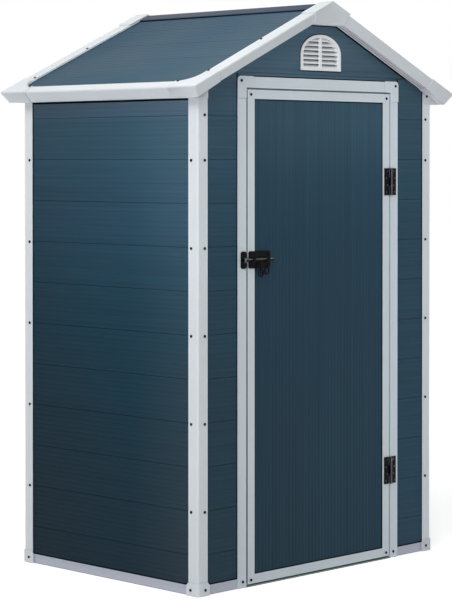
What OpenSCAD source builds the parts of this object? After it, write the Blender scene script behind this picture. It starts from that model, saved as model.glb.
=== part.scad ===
// Small garden shed of ribbed twin-wall plastic panels in white extruded trims,
// with a gable roof, one side-hung door and a barrel bolt.
// X runs across the front, the front faces -Y, Z points up. The origin is the middle of the base.

/* [Body] */
// Width across the corner posts
body_w = 1150; // [1000:10:1500]
// Depth across the corner posts
body_d = 850; // [600:10:1400]
// Width of each face of a corner post
post_w = 43; // [36:1:60]
// Radius of the outer corner of a post
post_round = 8; // [2:0.5:9]
// Thickness of the wall and door panels
panel_t = 16; // [10:0.5:22]
// Thickness of the skins of the extruded trims
skin_t = 2.7; // [2:0.1:3.5]
// Clearance between pieces that slot together
fit = 0.3; // [0.15:0.05:0.5]
// Depth of the slots that take the panel edges
slot_d = 18; // [12:1:20]
// Height of the base rails
base_h = 33; // [26:1:45]
// Thickness of the bottom of the base rails
base_floor_t = 3; // [2:0.5:6]

/* [Base corner caps] */
// Length of each arm of a base cap
base_cap_arm = 50; // [47:1:70]
// Height of a base cap at the corner
base_cap_h = 43; // [36:1:60]
// How far the base caps stand proud of the posts
base_cap_proud = 4; // [3:0.5:6]

/* [Roof] */
// Height of the eave edge of the roof
eave_h = 1608; // [1450:1:1900]
// Pitch of the roof in degrees
roof_pitch = 24.7; // [23:0.1:30]
// Overhang of the eave edge past the posts
eave_over = 63; // [50:1:90]
// How far the bottom of the eave board leans in
eave_lean = 28; // [18:1:34]
// Height of the eave board
eave_board_h = 35; // [32:1:50]
// Width of the eave trim on top of the roof
eave_flange = 45; // [36:1:60]
// Overhang of the gable edges past the posts
rake_over = 52; // [40:1:80]
// How far the bottom of the gable boards leans in
rake_lean = 15; // [8:1:20]
// Depth of the gable boards, square to the slope
rake_board_h = 36; // [35:0.5:50]
// Width of the gable trim on top of the roof
rake_flange = 60; // [56:1:90]
// Thickness of the roof panels
roof_t = 12; // [8:0.5:14]
// Drop from the top of the trims to the roof panels
roof_drop = 6.5; // [6.5:0.5:11]
// Distance from the roof edge to the edge of the roof panels
roof_inset = 14; // [13:0.5:18]
// Length of a corner cap along the gable edge
corner_rake_arm = 124; // [115:1:180]
// Length of a corner cap along the eave
corner_eave_arm = 130; // [125:1:200]
// Fillet in the inner corner of a corner cap
corner_fillet = 60; // [20:1:65]
// How far the corner caps stand proud of the trims
corner_proud = 1.5; // [0.5:0.25:2.5]
// Length of each arm of a peak cap
peak_cap_arm = 96; // [80:1:140]
// How far the peak caps stand proud of the trims
peak_proud = 3; // [1:0.5:4]
// Width of each side of the ridge strip
ridge_w = 48; // [40:1:90]
// Thickness of the ridge strip
ridge_t = 4; // [3:0.25:5]

/* [Door] */
// Width of the doorway between the jambs
doorway_w = 713; // [600:1:760]
// Height of the header's underside over the eave edge of the roof
doorway_rise = 2.5; // [-15:0.5:15]
// Running gap round the door
door_gap = 5.6; // [5:0.1:8]
// Gap between the sill and the door
door_lift = 5; // [5:0.5:15]
// Thickness of the sill
sill_t = 4; // [3:0.5:6]
// Width of the jambs
jamb_w = 38.5; // [34:0.5:50]
// Height of the header
header_h = 36; // [34:0.5:45]
// Width of the door stiles
stile_w = 33; // [28:0.5:50]
// Height of the top and bottom rails of the door
door_rail_h = 30; // [28:0.5:50]
// Width of the stop lip behind the door
stop_w = 16; // [10:1:22]
// Gap between the door and the stop lip
stop_gap = 5; // [5:0.5:8]
// Length of the arms of a header cap
header_cap_arm = 71; // [60:1:90]
// How far the header caps stand proud
header_cap_proud = 2; // [1:0.25:3]
// Radius of the outer corner of a header cap
header_cap_round = 14; // [6:1:20]
// Height of the panel joint above the header
gable_step = 10.5; // [6:0.5:20]

/* [Hinges] */
// Height of a hinge
hinge_h = 93; // [70:1:120]
// Width of a hinge leaf from the pin
hinge_leaf_w = 30; // [24:1:34]
// Thickness of the hinge leaves
hinge_t = 2.5; // [2:0.25:3]
// Radius of the hinge barrel
barrel_r = 5; // [4:0.25:5.25]
// Radius of the hinge pin
pin_r = 2.3; // [1.8:0.1:2.6]
// Height of the middle of the lower hinge
hinge_low_z = 306; // [200:1:500]
// Height of the middle of the upper hinge
hinge_high_z = 1303; // [1150:1:1450]

/* [Bolt] */
// Height of the bolt
bolt_z = 1056; // [900:1:1150]
// Radius of the bolt rod
rod_r = 5; // [4:0.25:6]
// Length of the bolt rod
rod_len = 130; // [120:1:150]
// Gap between the rod and the bolt plate
rod_gap = 2; // [1:0.25:4]
// Reach of the drawn rod past the edge of the door
rod_reach = 20; // [8:0.5:20]
// Clearance of the rod in the keeper
keeper_clear = 0.9; // [0.5:0.1:1.5]
// Length of the bolt plate
bolt_plate_w = 102; // [90:1:120]
// Height of the bolt plate and keeper
bolt_plate_h = 56; // [46:1:70]
// Width of the drop handle of the bolt
handle_w = 8; // [6:0.5:12]
// Thickness of the drop handle
handle_t = 3; // [2:0.25:4]
// Drop of the handle below the rod
handle_drop = 46; // [30:1:60]
// Travel of the bolt rod
bolt_travel = 14; // [12:1:20]
// Room between the handle and the guide with the bolt shut
handle_room = 10; // [2:0.5:12]

/* [Gable vent] */
// Width of the vent
vent_w = 196; // [140:1:220]
// Height of the bottom of the vent above the header
vent_lift = 28.5; // [20:0.5:60]
// Height of the straight sides of the vent
vent_side_h = 54; // [40:1:70]
// Rise of the arch of the vent
vent_rise = 66; // [40:1:70]
// Width of the frame of the vent
vent_frame_w = 10; // [9:0.5:16]
// Width of the bar down the middle of the vent
vent_bar_w = 9; // [8:0.5:20]
// Thickness of the flange of the vent
vent_flange_t = 4; // [3:0.25:6]
// Thickness of the neck of the vent
vent_neck_t = 2; // [1.5:0.25:4]
// Depth of the bar of the vent
vent_bar_d = 9; // [3:0.5:10]
// Setback of the bar behind the flange
vent_bar_in = 1; // [0.5:0.25:2]
// Number of slats
slat_count = 7; // [4:1:8]
// Thickness of a slat
slat_t = 2; // [1.5:0.25:2.5]
// Width of a slat from front to back
slat_d = 16; // [12:0.5:18]
// Tilt of the slats in degrees
slat_tilt = 40; // [25:1:45]
// Height of the first slat above the bottom of the opening
slat_low = 2; // [1:0.5:5]
// Height of the lip along the front edge of a slat
slat_lip_h = 4.5; // [3:0.5:6]
// Thickness of the lip of a slat
slat_lip_t = 2; // [1.5:0.25:3]

/* [Hidden] */
$fn = 48;

trim_color = "gainsboro";
panel_color = "steelblue";
roof_color = "slategray";
steel_color = "dimgray";

half_w = body_w / 2;
half_d = body_d / 2;
// Slots and trims are as deep as the panel with its clearance and two skins.
slot_t = panel_t + 2 * fit;
frame_t = slot_t + 2 * skin_t;
panel_back = skin_t + fit;
slot_gap = slot_d - fit;
over = 1;

// Roof lines. u runs down the slope from the apex, v is square to the slope.
roof_x = half_w + eave_over;
roof_y = half_d + rake_over;
eave_u = roof_x / cos(roof_pitch);
apex_z = eave_h + roof_x * tan(roof_pitch);
roof_top_v = -roof_drop;
roof_under_v = -roof_drop - roof_t;
eave_low_z = eave_h - eave_board_h;
wall_gap_x = half_w + fit;
wall_gap_y = half_d + fit;

// A point of the slope in the X-Z plane
function slope_pt(u, v) = [
    u * cos(roof_pitch) + v * sin(roof_pitch),
    apex_z - u * sin(roof_pitch) + v * cos(roof_pitch)
];
// Height of the line v over the place x
function slope_z(x, v) = apex_z + v / cos(roof_pitch) - abs(x) * tan(roof_pitch);
// Place where the line v crosses the height z
function slope_x(z, v) = (apex_z + v / cos(roof_pitch) - z) / tan(roof_pitch);
// Place of the face of the eave board at the height z
function eave_x(z) = roof_x - (eave_h - z) * eave_lean / eave_board_h;
// Distance that the face of a gable board leans in at v
function rake_in(v) = -v * rake_lean / rake_board_h;

wall_top_v = roof_under_v - fit;
post_top_z = slope_z(half_w, wall_top_v);

doorway_h = eave_h + doorway_rise;
header_top_z = doorway_h + header_h;
joint_z = header_top_z + gable_step;
jamb_in = doorway_w / 2;
jamb_out = jamb_in + jamb_w;
leaf_half = jamb_in - door_gap;
leaf_low_z = sill_t + door_lift;
leaf_top_z = doorway_h - door_gap;
face_y = -half_d;
front_panel_y = face_y + panel_back;

hinge_x = jamb_in - door_gap / 2;
plate_gap = 0.2;
hinge_y = face_y - barrel_r - 0.5;
rod_y = face_y - plate_gap - hinge_t - rod_r - rod_gap;
bore_gap = 0.3;

// ---- Shared shapes ----

// Places a piece made for the front right at another corner
module at_corner(side, end)
    mirror([side < 0 ? 1 : 0, 0, 0]) mirror([0, end > 0 ? 1 : 0, 0]) children();

// Turns a shape made along a level roof onto the right-hand slope
module on_slope() translate([0, 0, apex_z]) rotate([0, roof_pitch, 0]) children();

// Runs an outline drawn in X and Z from y0 to y1
module run_y(y0, y1) translate([0, y1, 0]) rotate([90, 0, 0]) linear_extrude(y1 - y0) children();

// Runs an outline drawn in Y and Z from x0 to x1
module run_x(x0, x1) translate([x0, 0, 0]) rotate([90, 0, 90]) linear_extrude(x1 - x0) children();

// Outline of a trim of width w that takes a panel edge in a slot on its far side
module slotted_outline(w) {
    difference() {
        square([w, frame_t]);
        translate([w - slot_d, skin_t]) square([slot_d + over, slot_t]);
        translate([skin_t, skin_t]) square([w - slot_d - 2 * skin_t, slot_t]);
    }
}

// ---- Base ----

// Upright channel that carries the bottom edge of a wall panel
module base_rail(x0, x1, y0) {
    color(trim_color) translate([0, y0, 0]) run_x(x0, x1) difference() {
        square([frame_t, base_h]);
        translate([skin_t, base_floor_t]) square([slot_t, base_h]);
    }
}

rail_gap = half_w - post_w - fit;
side_rail_gap = half_d - post_w - fit;

module base_rails_front() for (s = [0, 1]) mirror([s, 0, 0])
    base_rail(jamb_out + fit, rail_gap, face_y);
module base_rails_side() for (s = [0, 1]) mirror([s, 0, 0])
    rotate([0, 0, 90]) base_rail(-side_rail_gap, side_rail_gap, -half_w);
module base_rail_back() base_rail(-rail_gap, rail_gap, half_d - frame_t);

// Flat threshold strip between the jambs
module door_sill() {
    color(steel_color) translate([-jamb_in + fit, face_y, 0])
        cube([doorway_w - 2 * fit, frame_t, sill_t]);
}

// Square of one size with its outer corner rounded, in X and Y
module round_corner(far_x, far_y, r, size) {
    translate([far_x - size, -far_y]) square([size - r, size]);
    translate([far_x - size, -far_y + r]) square([size, size - r]);
    translate([far_x - r, -far_y + r]) circle(r);
}

// L-shaped foot cover round a corner, with shoulders that fall to the rail
module base_cap(side, end) {
    far_x = half_w + base_cap_proud;
    far_y = half_d + base_cap_proud;
    reach = base_cap_arm + base_cap_proud;
    skin = base_cap_proud - fit;
    color(trim_color) at_corner(side, end) difference() {
        linear_extrude(base_cap_h) difference() {
            round_corner(far_x, far_y, post_round + base_cap_proud, reach);
            round_corner(far_x - skin, far_y - skin, post_round + fit, reach);
        }
        base_cap_shoulder(far_x - reach, -1);
        rotate([0, 0, 90]) base_cap_shoulder(-far_y + reach, 1);
    }
}

module base_caps_front() for (side = [-1, 1]) base_cap(side, -1);
module base_caps_back() for (side = [-1, 1]) base_cap(side, 1);

// Wedge that slopes the top of one arm down to the rail
module base_cap_shoulder(x_end, way) {
    drop = base_cap_h - base_h;
    reach = 2 * body_w;
    run_y(-reach, reach) polygon([
        [x_end + way, base_h], [x_end - way * drop, base_cap_h + over],
        [x_end + way, base_cap_h + over]
    ]);
}

// ---- Walls ----

// Corner post: an angle with a slot in each arm and a hollow core
module post(side, end) {
    core = post_w - slot_d - 2 * skin_t;
    color(trim_color) at_corner(side, end) translate([half_w, -half_d, 0]) mirror([1, 0, 0])
        linear_extrude(post_top_z) difference() {
            union() {
                translate([post_round, 0]) square([post_w - post_round, frame_t]);
                translate([0, post_round]) square([frame_t, post_w - post_round]);
                translate([post_round, post_round]) circle(post_round);
            }
            translate([post_w - slot_d, skin_t]) square([slot_d + over, slot_t]);
            translate([skin_t, post_w - slot_d]) square([slot_t, slot_d + over]);
            translate([skin_t + post_round, skin_t + post_round])
                square([core - post_round, frame_t - 2 * skin_t - post_round]);
        }
}

module wall_right() {
    y_end = half_d - post_w + slot_gap;
    z0 = base_floor_t + fit;
    color(panel_color) translate([half_w - panel_back - panel_t, -y_end, z0])
        cube([panel_t, 2 * y_end, slope_z(half_w - panel_back, wall_top_v) - z0]);
}
module wall_left() mirror([1, 0, 0]) wall_right();

wall_end = half_w - post_w + slot_gap;

// Outline of all that lies under the roof panels, over the height z0
module under_roof_outline(z0) {
    x1 = half_w;
    z1 = slope_z(x1, wall_top_v);
    polygon([[-x1, z0], [x1, z0], [x1, z1], [0, slope_z(0, wall_top_v)], [-x1, z1]]);
}

// Outline of a wall from x0 to x1, up to the joint under the gable
module wall_outline(x0, x1) {
    z0 = base_floor_t + fit;
    intersection() {
        under_roof_outline(z0);
        translate([x0, z0]) square([x1 - x0, joint_z - fit - z0]);
    }
}

module wall_front_right() {
    color(panel_color) run_y(front_panel_y, front_panel_y + panel_t)
        wall_outline(jamb_out - slot_gap, wall_end);
}
module wall_front_left() mirror([1, 0, 0]) wall_front_right();

module wall_back() {
    color(panel_color) run_y(-front_panel_y - panel_t, -front_panel_y)
        wall_outline(-wall_end, wall_end);
}

// Triangle over the panel joint, up to the roof
module gable_outline() {
    intersection() {
        under_roof_outline(0);
        translate([-wall_end, joint_z]) square([2 * wall_end, apex_z]);
    }
}

vent_z = header_top_z + vent_lift;
vent_hole_in = vent_frame_w - vent_neck_t;

module vent_hole() run_y(-body_d, body_d) vent_outline(vent_hole_in);

module gable_front() {
    x1 = jamb_out - slot_gap - fit;
    x2 = jamb_in - 2 * fit;
    color(panel_color) difference() {
        run_y(front_panel_y, front_panel_y + panel_t) {
            gable_outline();
            translate([-x1, header_top_z + fit]) square([2 * x1, gable_step]);
            translate([-x2, header_top_z - slot_gap]) square([2 * x2, slot_d + gable_step]);
        }
        vent_hole();
    }
}

module gable_back() {
    color(panel_color) difference() {
        run_y(-front_panel_y - panel_t, -front_panel_y) gable_outline();
        vent_hole();
    }
}

// Outline of the vent, drawn in by a margin
module vent_outline(margin) {
    w = vent_w / 2 - margin;
    spring_z = vent_z + vent_side_h;
    steps = 20;
    polygon(concat(
        [[-w, vent_z + margin], [w, vent_z + margin]],
        [for (i = [0 : steps]) let (a = 180 * i / steps)
            [w * cos(a), spring_z + (vent_rise - margin) * sin(a)]]
    ));
}

// Louvred vent: flange on the wall face, neck through the wall, slats and a middle bar
module vent() {
    flange_t = vent_flange_t;
    opening_h = vent_side_h + vent_rise - 2 * vent_frame_w;
    pitch = opening_h / (slat_count - 0.25);
    flange_y = front_panel_y - fit;
    neck_y = front_panel_y + panel_t;
    slat_y = (flange_y + neck_y) / 2;
    lip_y = slat_y - slat_d / 2 * cos(slat_tilt);
    lip_z = -slat_d / 2 * sin(slat_tilt);
    color(trim_color) {
        run_y(flange_y - flange_t, flange_y) difference() {
            vent_outline(0);
            vent_outline(vent_frame_w);
        }
        run_y(flange_y - over, neck_y) difference() {
            vent_outline(vent_hole_in + fit);
            vent_outline(vent_frame_w);
        }
        intersection() {
            run_y(flange_y - flange_t, neck_y) vent_outline(vent_frame_w - 0.5);
            union() {
                translate([-vent_bar_w / 2, flange_y - flange_t + vent_bar_in, vent_z])
                    cube([vent_bar_w, vent_bar_d, vent_side_h + vent_rise]);
                for (i = [0 : slat_count - 1])
                    translate([0, 0, vent_z + vent_frame_w + slat_low - lip_z - slat_lip_h / 2 + i * pitch]) {
                        translate([0, slat_y, 0]) rotate([slat_tilt, 0, 0])
                            cube([vent_w, slat_d, slat_t], center = true);
                        translate([0, lip_y, lip_z]) cube([vent_w, slat_lip_t, slat_lip_h], center = true);
                    }
            }
        }
    }
}
module vent_front() vent();
module vent_back() mirror([0, 1, 0]) vent();

// ---- Door frame ----

module jamb_right() {
    stop_y = frame_t + stop_gap;
    color(trim_color) translate([jamb_in, face_y, 0]) linear_extrude(header_top_z) {
        slotted_outline(jamb_w);
        translate([-stop_w, stop_y]) square([stop_w + skin_t, skin_t]);
        translate([0, frame_t - over]) square([skin_t, stop_gap + skin_t + over]);
    }
}
module jamb_left() mirror([1, 0, 0]) jamb_right();

module header() {
    stop_half = jamb_in - stop_w - fit;
    color(trim_color) translate([0, face_y, doorway_h]) {
        run_x(-jamb_in + fit, jamb_in - fit) difference() {
            square([frame_t, header_h]);
            translate([skin_t, header_h - slot_d]) square([slot_t, slot_d + over]);
            translate([skin_t, skin_t]) square([slot_t, header_h - slot_d - 2 * skin_t]);
        }
        run_x(-stop_half, stop_half) {
            translate([frame_t + stop_gap, -stop_w]) square([skin_t, stop_w + skin_t]);
            translate([frame_t - over, 0]) square([stop_gap + skin_t + over, skin_t]);
        }
    }
}

// Cover plate over the joint of a jamb and the header
module header_cap() {
    far_x = jamb_out + header_cap_proud;
    far_z = header_top_z + header_cap_proud;
    r = header_cap_round;
    arm = header_cap_arm;
    color(trim_color) run_y(face_y - header_cap_proud, face_y - plate_gap) difference() {
        union() {
            translate([far_x - arm, far_z - arm]) square([arm - r, arm]);
            translate([far_x - arm, far_z - arm]) square([arm, arm - r]);
            translate([far_x - r, far_z - r]) circle(r);
        }
        translate([jamb_in - arm, doorway_h - arm]) square(arm);
    }
}
module header_caps() for (s = [0, 1]) mirror([s, 0, 0]) header_cap();

// ---- Roof ----

module roof_panel_right() {
    y_end = roof_y - roof_inset;
    u_end = eave_u - roof_inset;
    color(roof_color) run_y(-y_end, y_end) polygon([
        [fit / 2, slope_z(fit / 2, roof_under_v)], slope_pt(u_end, roof_under_v),
        slope_pt(u_end, roof_top_v), [fit / 2, slope_z(fit / 2, roof_top_v)]
    ]);
}
module roof_panel_left() mirror([1, 0, 0]) roof_panel_right();

// Folded strip over the joint of the two roof panels
module ridge_strip() {
    y_end = roof_y - rake_flange - fit;
    v0 = roof_top_v + fit;
    v1 = v0 + ridge_t;
    low = slope_pt(ridge_w, v0);
    high = slope_pt(ridge_w, v1);
    color(roof_color) run_y(-y_end, y_end) polygon([
        [0, slope_z(0, v0)], low, high, [0, slope_z(0, v1)], [-high.x, high.y], [-low.x, low.y]
    ]);
}

// Room for the roof panel and its clearance, as an outline along the eave
slot_low_v = roof_under_v - fit;
slot_top_v = roof_top_v + fit;
slot_in = roof_inset - fit;

// Outline of the eave trim in X and Z
module eave_outline(proud) {
    x_low = eave_x(eave_low_z) + proud;
    wall_z = slope_z(wall_gap_x, slot_low_v);
    difference() {
        polygon([
            slope_pt(eave_u + proud, proud), [x_low, eave_low_z], [wall_gap_x, eave_low_z],
            [wall_gap_x, wall_z], slope_pt(eave_u - slot_in, slot_low_v),
            slope_pt(eave_u - slot_in, slot_top_v),
            slope_pt(eave_u - eave_flange, slot_top_v), slope_pt(eave_u - eave_flange, proud)
        ]);
        // Hollow cell under the roof panel
        polygon([
            [wall_gap_x + skin_t, eave_low_z + skin_t],
            [x_low - 2 * skin_t, eave_low_z + skin_t],
            slope_pt(eave_u - slot_in - skin_t, slot_low_v - skin_t),
            [wall_gap_x + skin_t, slope_z(wall_gap_x + skin_t, slot_low_v - skin_t)]
        ]);
    }
}

module eave_trim_right() {
    y_end = roof_y - corner_eave_arm - fit;
    color(trim_color) run_y(-y_end, y_end) eave_outline(0);
}
module eave_trim_left() mirror([1, 0, 0]) eave_trim_right();

// Outline of the front gable trim in Y and v
module rake_outline(proud) {
    y_out = -roof_y - proud;
    low_v = -rake_board_h - proud;
    y_low = y_out + rake_lean;
    slot_y = -roof_y + slot_in;
    wall_y = -wall_gap_y;
    flange_y = -roof_y + rake_flange;
    difference() {
        polygon([
            [y_out, proud], [y_low, low_v], [wall_y, low_v], [wall_y, slot_low_v],
            [slot_y, slot_low_v], [slot_y, slot_top_v], [flange_y, slot_top_v], [flange_y, proud]
        ]);
        // Hollow cell under the roof panel
        polygon([
            [y_low + skin_t, low_v + skin_t], [wall_y - skin_t, low_v + skin_t],
            [wall_y - skin_t, slot_low_v - skin_t], [slot_y + skin_t, slot_low_v - skin_t]
        ]);
    }
}

module rake_trims_right() {
    u0 = peak_cap_arm + fit;
    u1 = eave_u - corner_rake_arm - fit;
    color(trim_color) for (e = [0, 1]) mirror([0, e, 0])
        on_slope() run_x(u0, u1) rake_outline(0);
}
module rake_trims_left() mirror([1, 0, 0]) rake_trims_right();

// Room behind the slanting face of the gable boards
module behind_rake_face(proud) {
    far_y = body_d;
    y_out = -roof_y - proud;
    on_slope() run_x(-body_w, 2 * body_w) polygon([
        [y_out - rake_lean, rake_board_h + proud], [y_out + 3 * rake_lean, -3 * rake_board_h],
        [far_y, -3 * rake_board_h], [far_y, rake_board_h + proud]
    ]);
}

// Room behind the slanting face of the eave board, above its bottom
module behind_eave_face(proud) {
    top_z = eave_h + eave_board_h;
    run_y(-body_d, body_d) polygon([
        [0, eave_low_z], [eave_x(eave_low_z) + proud, eave_low_z],
        [eave_x(top_z) + proud, top_z], [eave_x(top_z) + proud, 2 * apex_z], [0, 2 * apex_z]
    ]);
}

// Top plate of a corner cap, with a fillet between its arms
module corner_flange_plan() {
    u_in = eave_u - eave_flange;
    y_in = -roof_y + rake_flange;
    r = corner_fillet;
    translate([eave_u - corner_rake_arm, -roof_y - eave_over])
        square([corner_rake_arm + eave_over, rake_flange + eave_over]);
    translate([u_in, -roof_y - eave_over])
        square([eave_flange + eave_over, corner_eave_arm + eave_over]);
    difference() {
        translate([u_in - r, y_in - over]) square([r + over, r + over]);
        translate([u_in - r, y_in + r]) circle(r);
    }
}

// Line of the bottom of a corner cap's gable arm in X and Z, which falls to the eave board's foot
corner_joint = slope_pt(eave_u - corner_rake_arm, -rake_board_h - corner_proud);
corner_foot = [eave_x(eave_low_z) + corner_proud, eave_low_z];
function corner_fall(t, up) = corner_joint + t * (corner_foot - corner_joint) + [0, up];

// Boards and soffit of a corner cap, drawn in by a margin with open ends for its hollow
module corner_boards(margin) {
    p = corner_proud - 1.2 * margin;
    ends = margin > 0 ? over : 0;
    high_v = slot_top_v + (slot_low_v - slot_top_v - skin_t) * (margin > 0 ? 1 : 0);
    start_y = -wall_gap_y - over + ends;
    intersection() {
        union() {
            intersection() {
                on_slope() translate([eave_u - corner_rake_arm - ends, -2 * body_d, high_v - body_w])
                    cube([body_w, 2 * body_d - wall_gap_y - margin, body_w]);
                run_y(-2 * body_d, body_d) polygon([
                    corner_fall(-3, 1.2 * margin), corner_fall(3, 1.2 * margin),
                    [2 * body_w, 2 * apex_z], [0, 2 * apex_z]
                ]);
            }
            intersection() {
                translate([wall_gap_x + margin, start_y, eave_low_z + margin])
                    cube([body_w, corner_eave_arm - roof_y + ends - start_y, apex_z]);
                on_slope() translate([0, -2 * body_d, high_v - body_w])
                    cube([2 * body_w, 3 * body_d, body_w]);
            }
        }
        behind_rake_face(p);
        behind_eave_face(p);
    }
}

// Moulded cap over the corner of the roof
module corner_cap(side, end) {
    p = corner_proud;
    color(trim_color) at_corner(side, end) {
        difference() {
            union() {
                corner_boards(0);
                intersection() {
                    on_slope() translate([0, 0, slot_top_v])
                        linear_extrude(p - slot_top_v) corner_flange_plan();
                    behind_rake_face(p);
                    behind_eave_face(p);
                }
            }
            corner_boards(skin_t);
            // Room for the roof panel
            on_slope() translate([0, -roof_y + slot_in, slot_low_v])
                cube([eave_u - slot_in, body_d, slot_top_v - slot_low_v]);
        }
        // Gusset from the face of the post to the eave board, level with the board's bottom
        intersection() {
            translate([half_w - post_w, -wall_gap_y - skin_t, eave_low_z])
                cube([body_w, skin_t, eave_h]);
            on_slope() translate([0, -body_d, -rake_board_h - p - body_w])
                cube([2 * body_w, body_d, body_w + skin_t]);
            behind_eave_face(p);
        }
    }
}

// Moulded cap over the peak of a gable
module peak_cap(end) {
    p = peak_proud;
    low = slope_pt(peak_cap_arm, -rake_board_h - p);
    cell_v = slot_low_v - skin_t;
    color(trim_color) mirror([0, end > 0 ? 1 : 0, 0]) difference() {
        for (s = [0, 1]) mirror([s, 0, 0]) intersection() {
            union() {
                // Gable board and its soffit, with a flat bottom under the peak
                run_y(-2 * body_d, -wall_gap_y)
                    polygon([[-over, low.y], low, slope_pt(peak_cap_arm, p), [-over, slope_z(over, p)]]);
                // Top plate
                run_y(-roof_y, -roof_y + rake_flange) polygon([
                    [-over, slope_z(over, slot_top_v)], slope_pt(peak_cap_arm, slot_top_v),
                    slope_pt(peak_cap_arm, p), [-over, slope_z(over, p)]
                ]);
            }
            behind_rake_face(p);
        }
        // Room for the roof panels
        run_y(-roof_y + slot_in, body_d) for (s = [0, 1]) mirror([s, 0]) polygon([
            [-over, slope_z(0, slot_low_v)], slope_pt(2 * peak_cap_arm, slot_low_v),
            slope_pt(2 * peak_cap_arm, slot_top_v), [0, slope_z(0, slot_top_v)]
        ]);
        // Hollow cell under the roof panels
        for (s = [0, 1]) mirror([s, 0, 0]) intersection() {
            run_y(-2 * body_d, -wall_gap_y - skin_t) polygon([
                [-over, low.y + skin_t], low + [over, skin_t], slope_pt(peak_cap_arm + over, cell_v),
                [-over, slope_z(over, cell_v)]
            ]);
            behind_rake_face(p - 1.2 * skin_t);
        }
    }
}
module peak_cap_front() peak_cap(-1);
module peak_cap_back() peak_cap(1);

// ---- Door ----

module door_stile_right() {
    color(trim_color) translate([leaf_half, face_y, leaf_low_z]) mirror([1, 0, 0])
        linear_extrude(leaf_top_z - leaf_low_z) slotted_outline(stile_w);
}
module door_stile_left() mirror([1, 0, 0]) door_stile_right();

rail_half = leaf_half - stile_w - fit;

// Rail outline drawn in Y and Z, slot upwards
module door_rail_outline() {
    difference() {
        square([frame_t, door_rail_h]);
        translate([skin_t, door_rail_h - slot_d]) square([slot_t, slot_d + over]);
        translate([skin_t, skin_t]) square([slot_t, door_rail_h - slot_d - 2 * skin_t]);
    }
}

module door_rails() {
    color(trim_color) translate([0, face_y, 0]) run_x(-rail_half, rail_half) {
        translate([0, leaf_low_z]) door_rail_outline();
        translate([0, leaf_top_z]) mirror([0, 1]) door_rail_outline();
    }
}

module door_panel() {
    x_end = leaf_half - stile_w + slot_gap;
    z0 = leaf_low_z + door_rail_h - slot_gap;
    z1 = leaf_top_z - door_rail_h + slot_gap;
    color(panel_color) translate([-x_end, front_panel_y, z0]) cube([2 * x_end, panel_t, z1 - z0]);
}

// ---- Hinges ----

knuckle_h = hinge_h / 3;
knuckle_gap = 0.4;
knuckle_clear = 1.5;

// Places the children at both hinges, with the pin as their Z axis
module at_hinges() {
    for (z = [hinge_low_z, hinge_high_z])
        translate([hinge_x, hinge_y, z - hinge_h / 2]) children();
}

leaf_y = barrel_r + 0.5 - plate_gap - hinge_t;

// Leaf on the jamb, with the outer knuckles and the pin
module hinge_frame_leaves() {
    in_x = barrel_r + knuckle_clear;
    color(steel_color) at_hinges() {
        translate([in_x, leaf_y, 0]) cube([hinge_leaf_w - in_x, hinge_t, hinge_h]);
        for (z = [0, hinge_h - knuckle_h]) {
            translate([0, 0, z]) cylinder(r = barrel_r, h = knuckle_h);
            translate([barrel_r / 2, leaf_y, z]) cube([in_x, hinge_t, knuckle_h]);
        }
        cylinder(r = pin_r, h = hinge_h);
    }
}

// Leaf on the door, with the bored middle knuckle
module hinge_door_leaves() {
    in_x = barrel_r + knuckle_clear;
    z0 = knuckle_h + knuckle_gap;
    h = knuckle_h - 2 * knuckle_gap;
    color(steel_color) at_hinges() difference() {
        union() {
            translate([-hinge_leaf_w, leaf_y, 0]) cube([hinge_leaf_w - in_x, hinge_t, hinge_h]);
            translate([-in_x - barrel_r / 2, leaf_y, z0]) cube([in_x, hinge_t, h]);
            translate([0, 0, z0]) cylinder(r = barrel_r, h = h);
        }
        translate([0, 0, z0 - over]) cylinder(r = pin_r + bore_gap, h = h + 2 * over);
    }
}

// ---- Bolt ----

plate_y = face_y - plate_gap - hinge_t;
guide_w = 14;
guide_wall = 3;
plate_in = 2;
plate_round = 8;
bolt_left_x = -leaf_half + plate_in;
rod_tip_x = -leaf_half - rod_reach;

// Plate with rounded corners in X and Z, standing on the face of the door or jamb
module steel_plate(x0, w, h) {
    r = plate_round;
    run_y(plate_y, face_y - plate_gap) {
        translate([x0 + r, bolt_z - h / 2]) square([w - 2 * r, h]);
        translate([x0, bolt_z - h / 2 + r]) square([w, h - 2 * r]);
        for (x = [x0 + r, x0 + w - r], z = [bolt_z - h / 2 + r, bolt_z + h / 2 - r])
            translate([x, z]) circle(r);
    }
}

// Round-fronted guide over the rod
module rod_guide(x0, w) {
    r = rod_r + guide_wall;
    translate([x0, 0, 0]) {
        translate([0, rod_y, bolt_z]) rotate([0, 90, 0]) cylinder(r = r, h = w);
        translate([0, rod_y, bolt_z - r]) cube([w, plate_y - rod_y + over, 2 * r]);
    }
}

// Hole for the rod through the guides from x0 on
module rod_bore(x0, w)
    translate([x0, rod_y, bolt_z]) rotate([0, 90, 0]) cylinder(r = rod_r + bore_gap, h = w);

module bolt_plate() {
    x1 = bolt_left_x + bolt_plate_w;
    color(steel_color) difference() {
        union() {
            steel_plate(bolt_left_x, bolt_plate_w, bolt_plate_h);
            rod_guide(bolt_left_x + guide_w / 2, guide_w);
            rod_guide(x1 - 2 * guide_w, guide_w);
        }
        rod_bore(bolt_left_x - over, bolt_plate_w + 2 * over);
    }
}

keeper_w = 25;
keeper_gap = 2;
strap_in = 1.5;
strap_w = keeper_w / 3;
strap_t = 2;

// Plate with a strap that takes the end of the rod
module bolt_keeper() {
    x0 = -jamb_in - keeper_gap - keeper_w;
    room = rod_r + keeper_clear;
    strap = room + strap_t;
    color(steel_color) difference() {
        union() {
            steel_plate(x0, keeper_w, bolt_plate_h);
            translate([x0 + strap_in, rod_y - strap, bolt_z - strap])
                cube([strap_w, plate_y + over - rod_y + strap, 2 * strap]);
        }
        translate([x0 - over, rod_y - room, bolt_z - room])
            cube([keeper_w + 2 * over, 2 * room, 2 * room]);
    }
}

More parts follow.
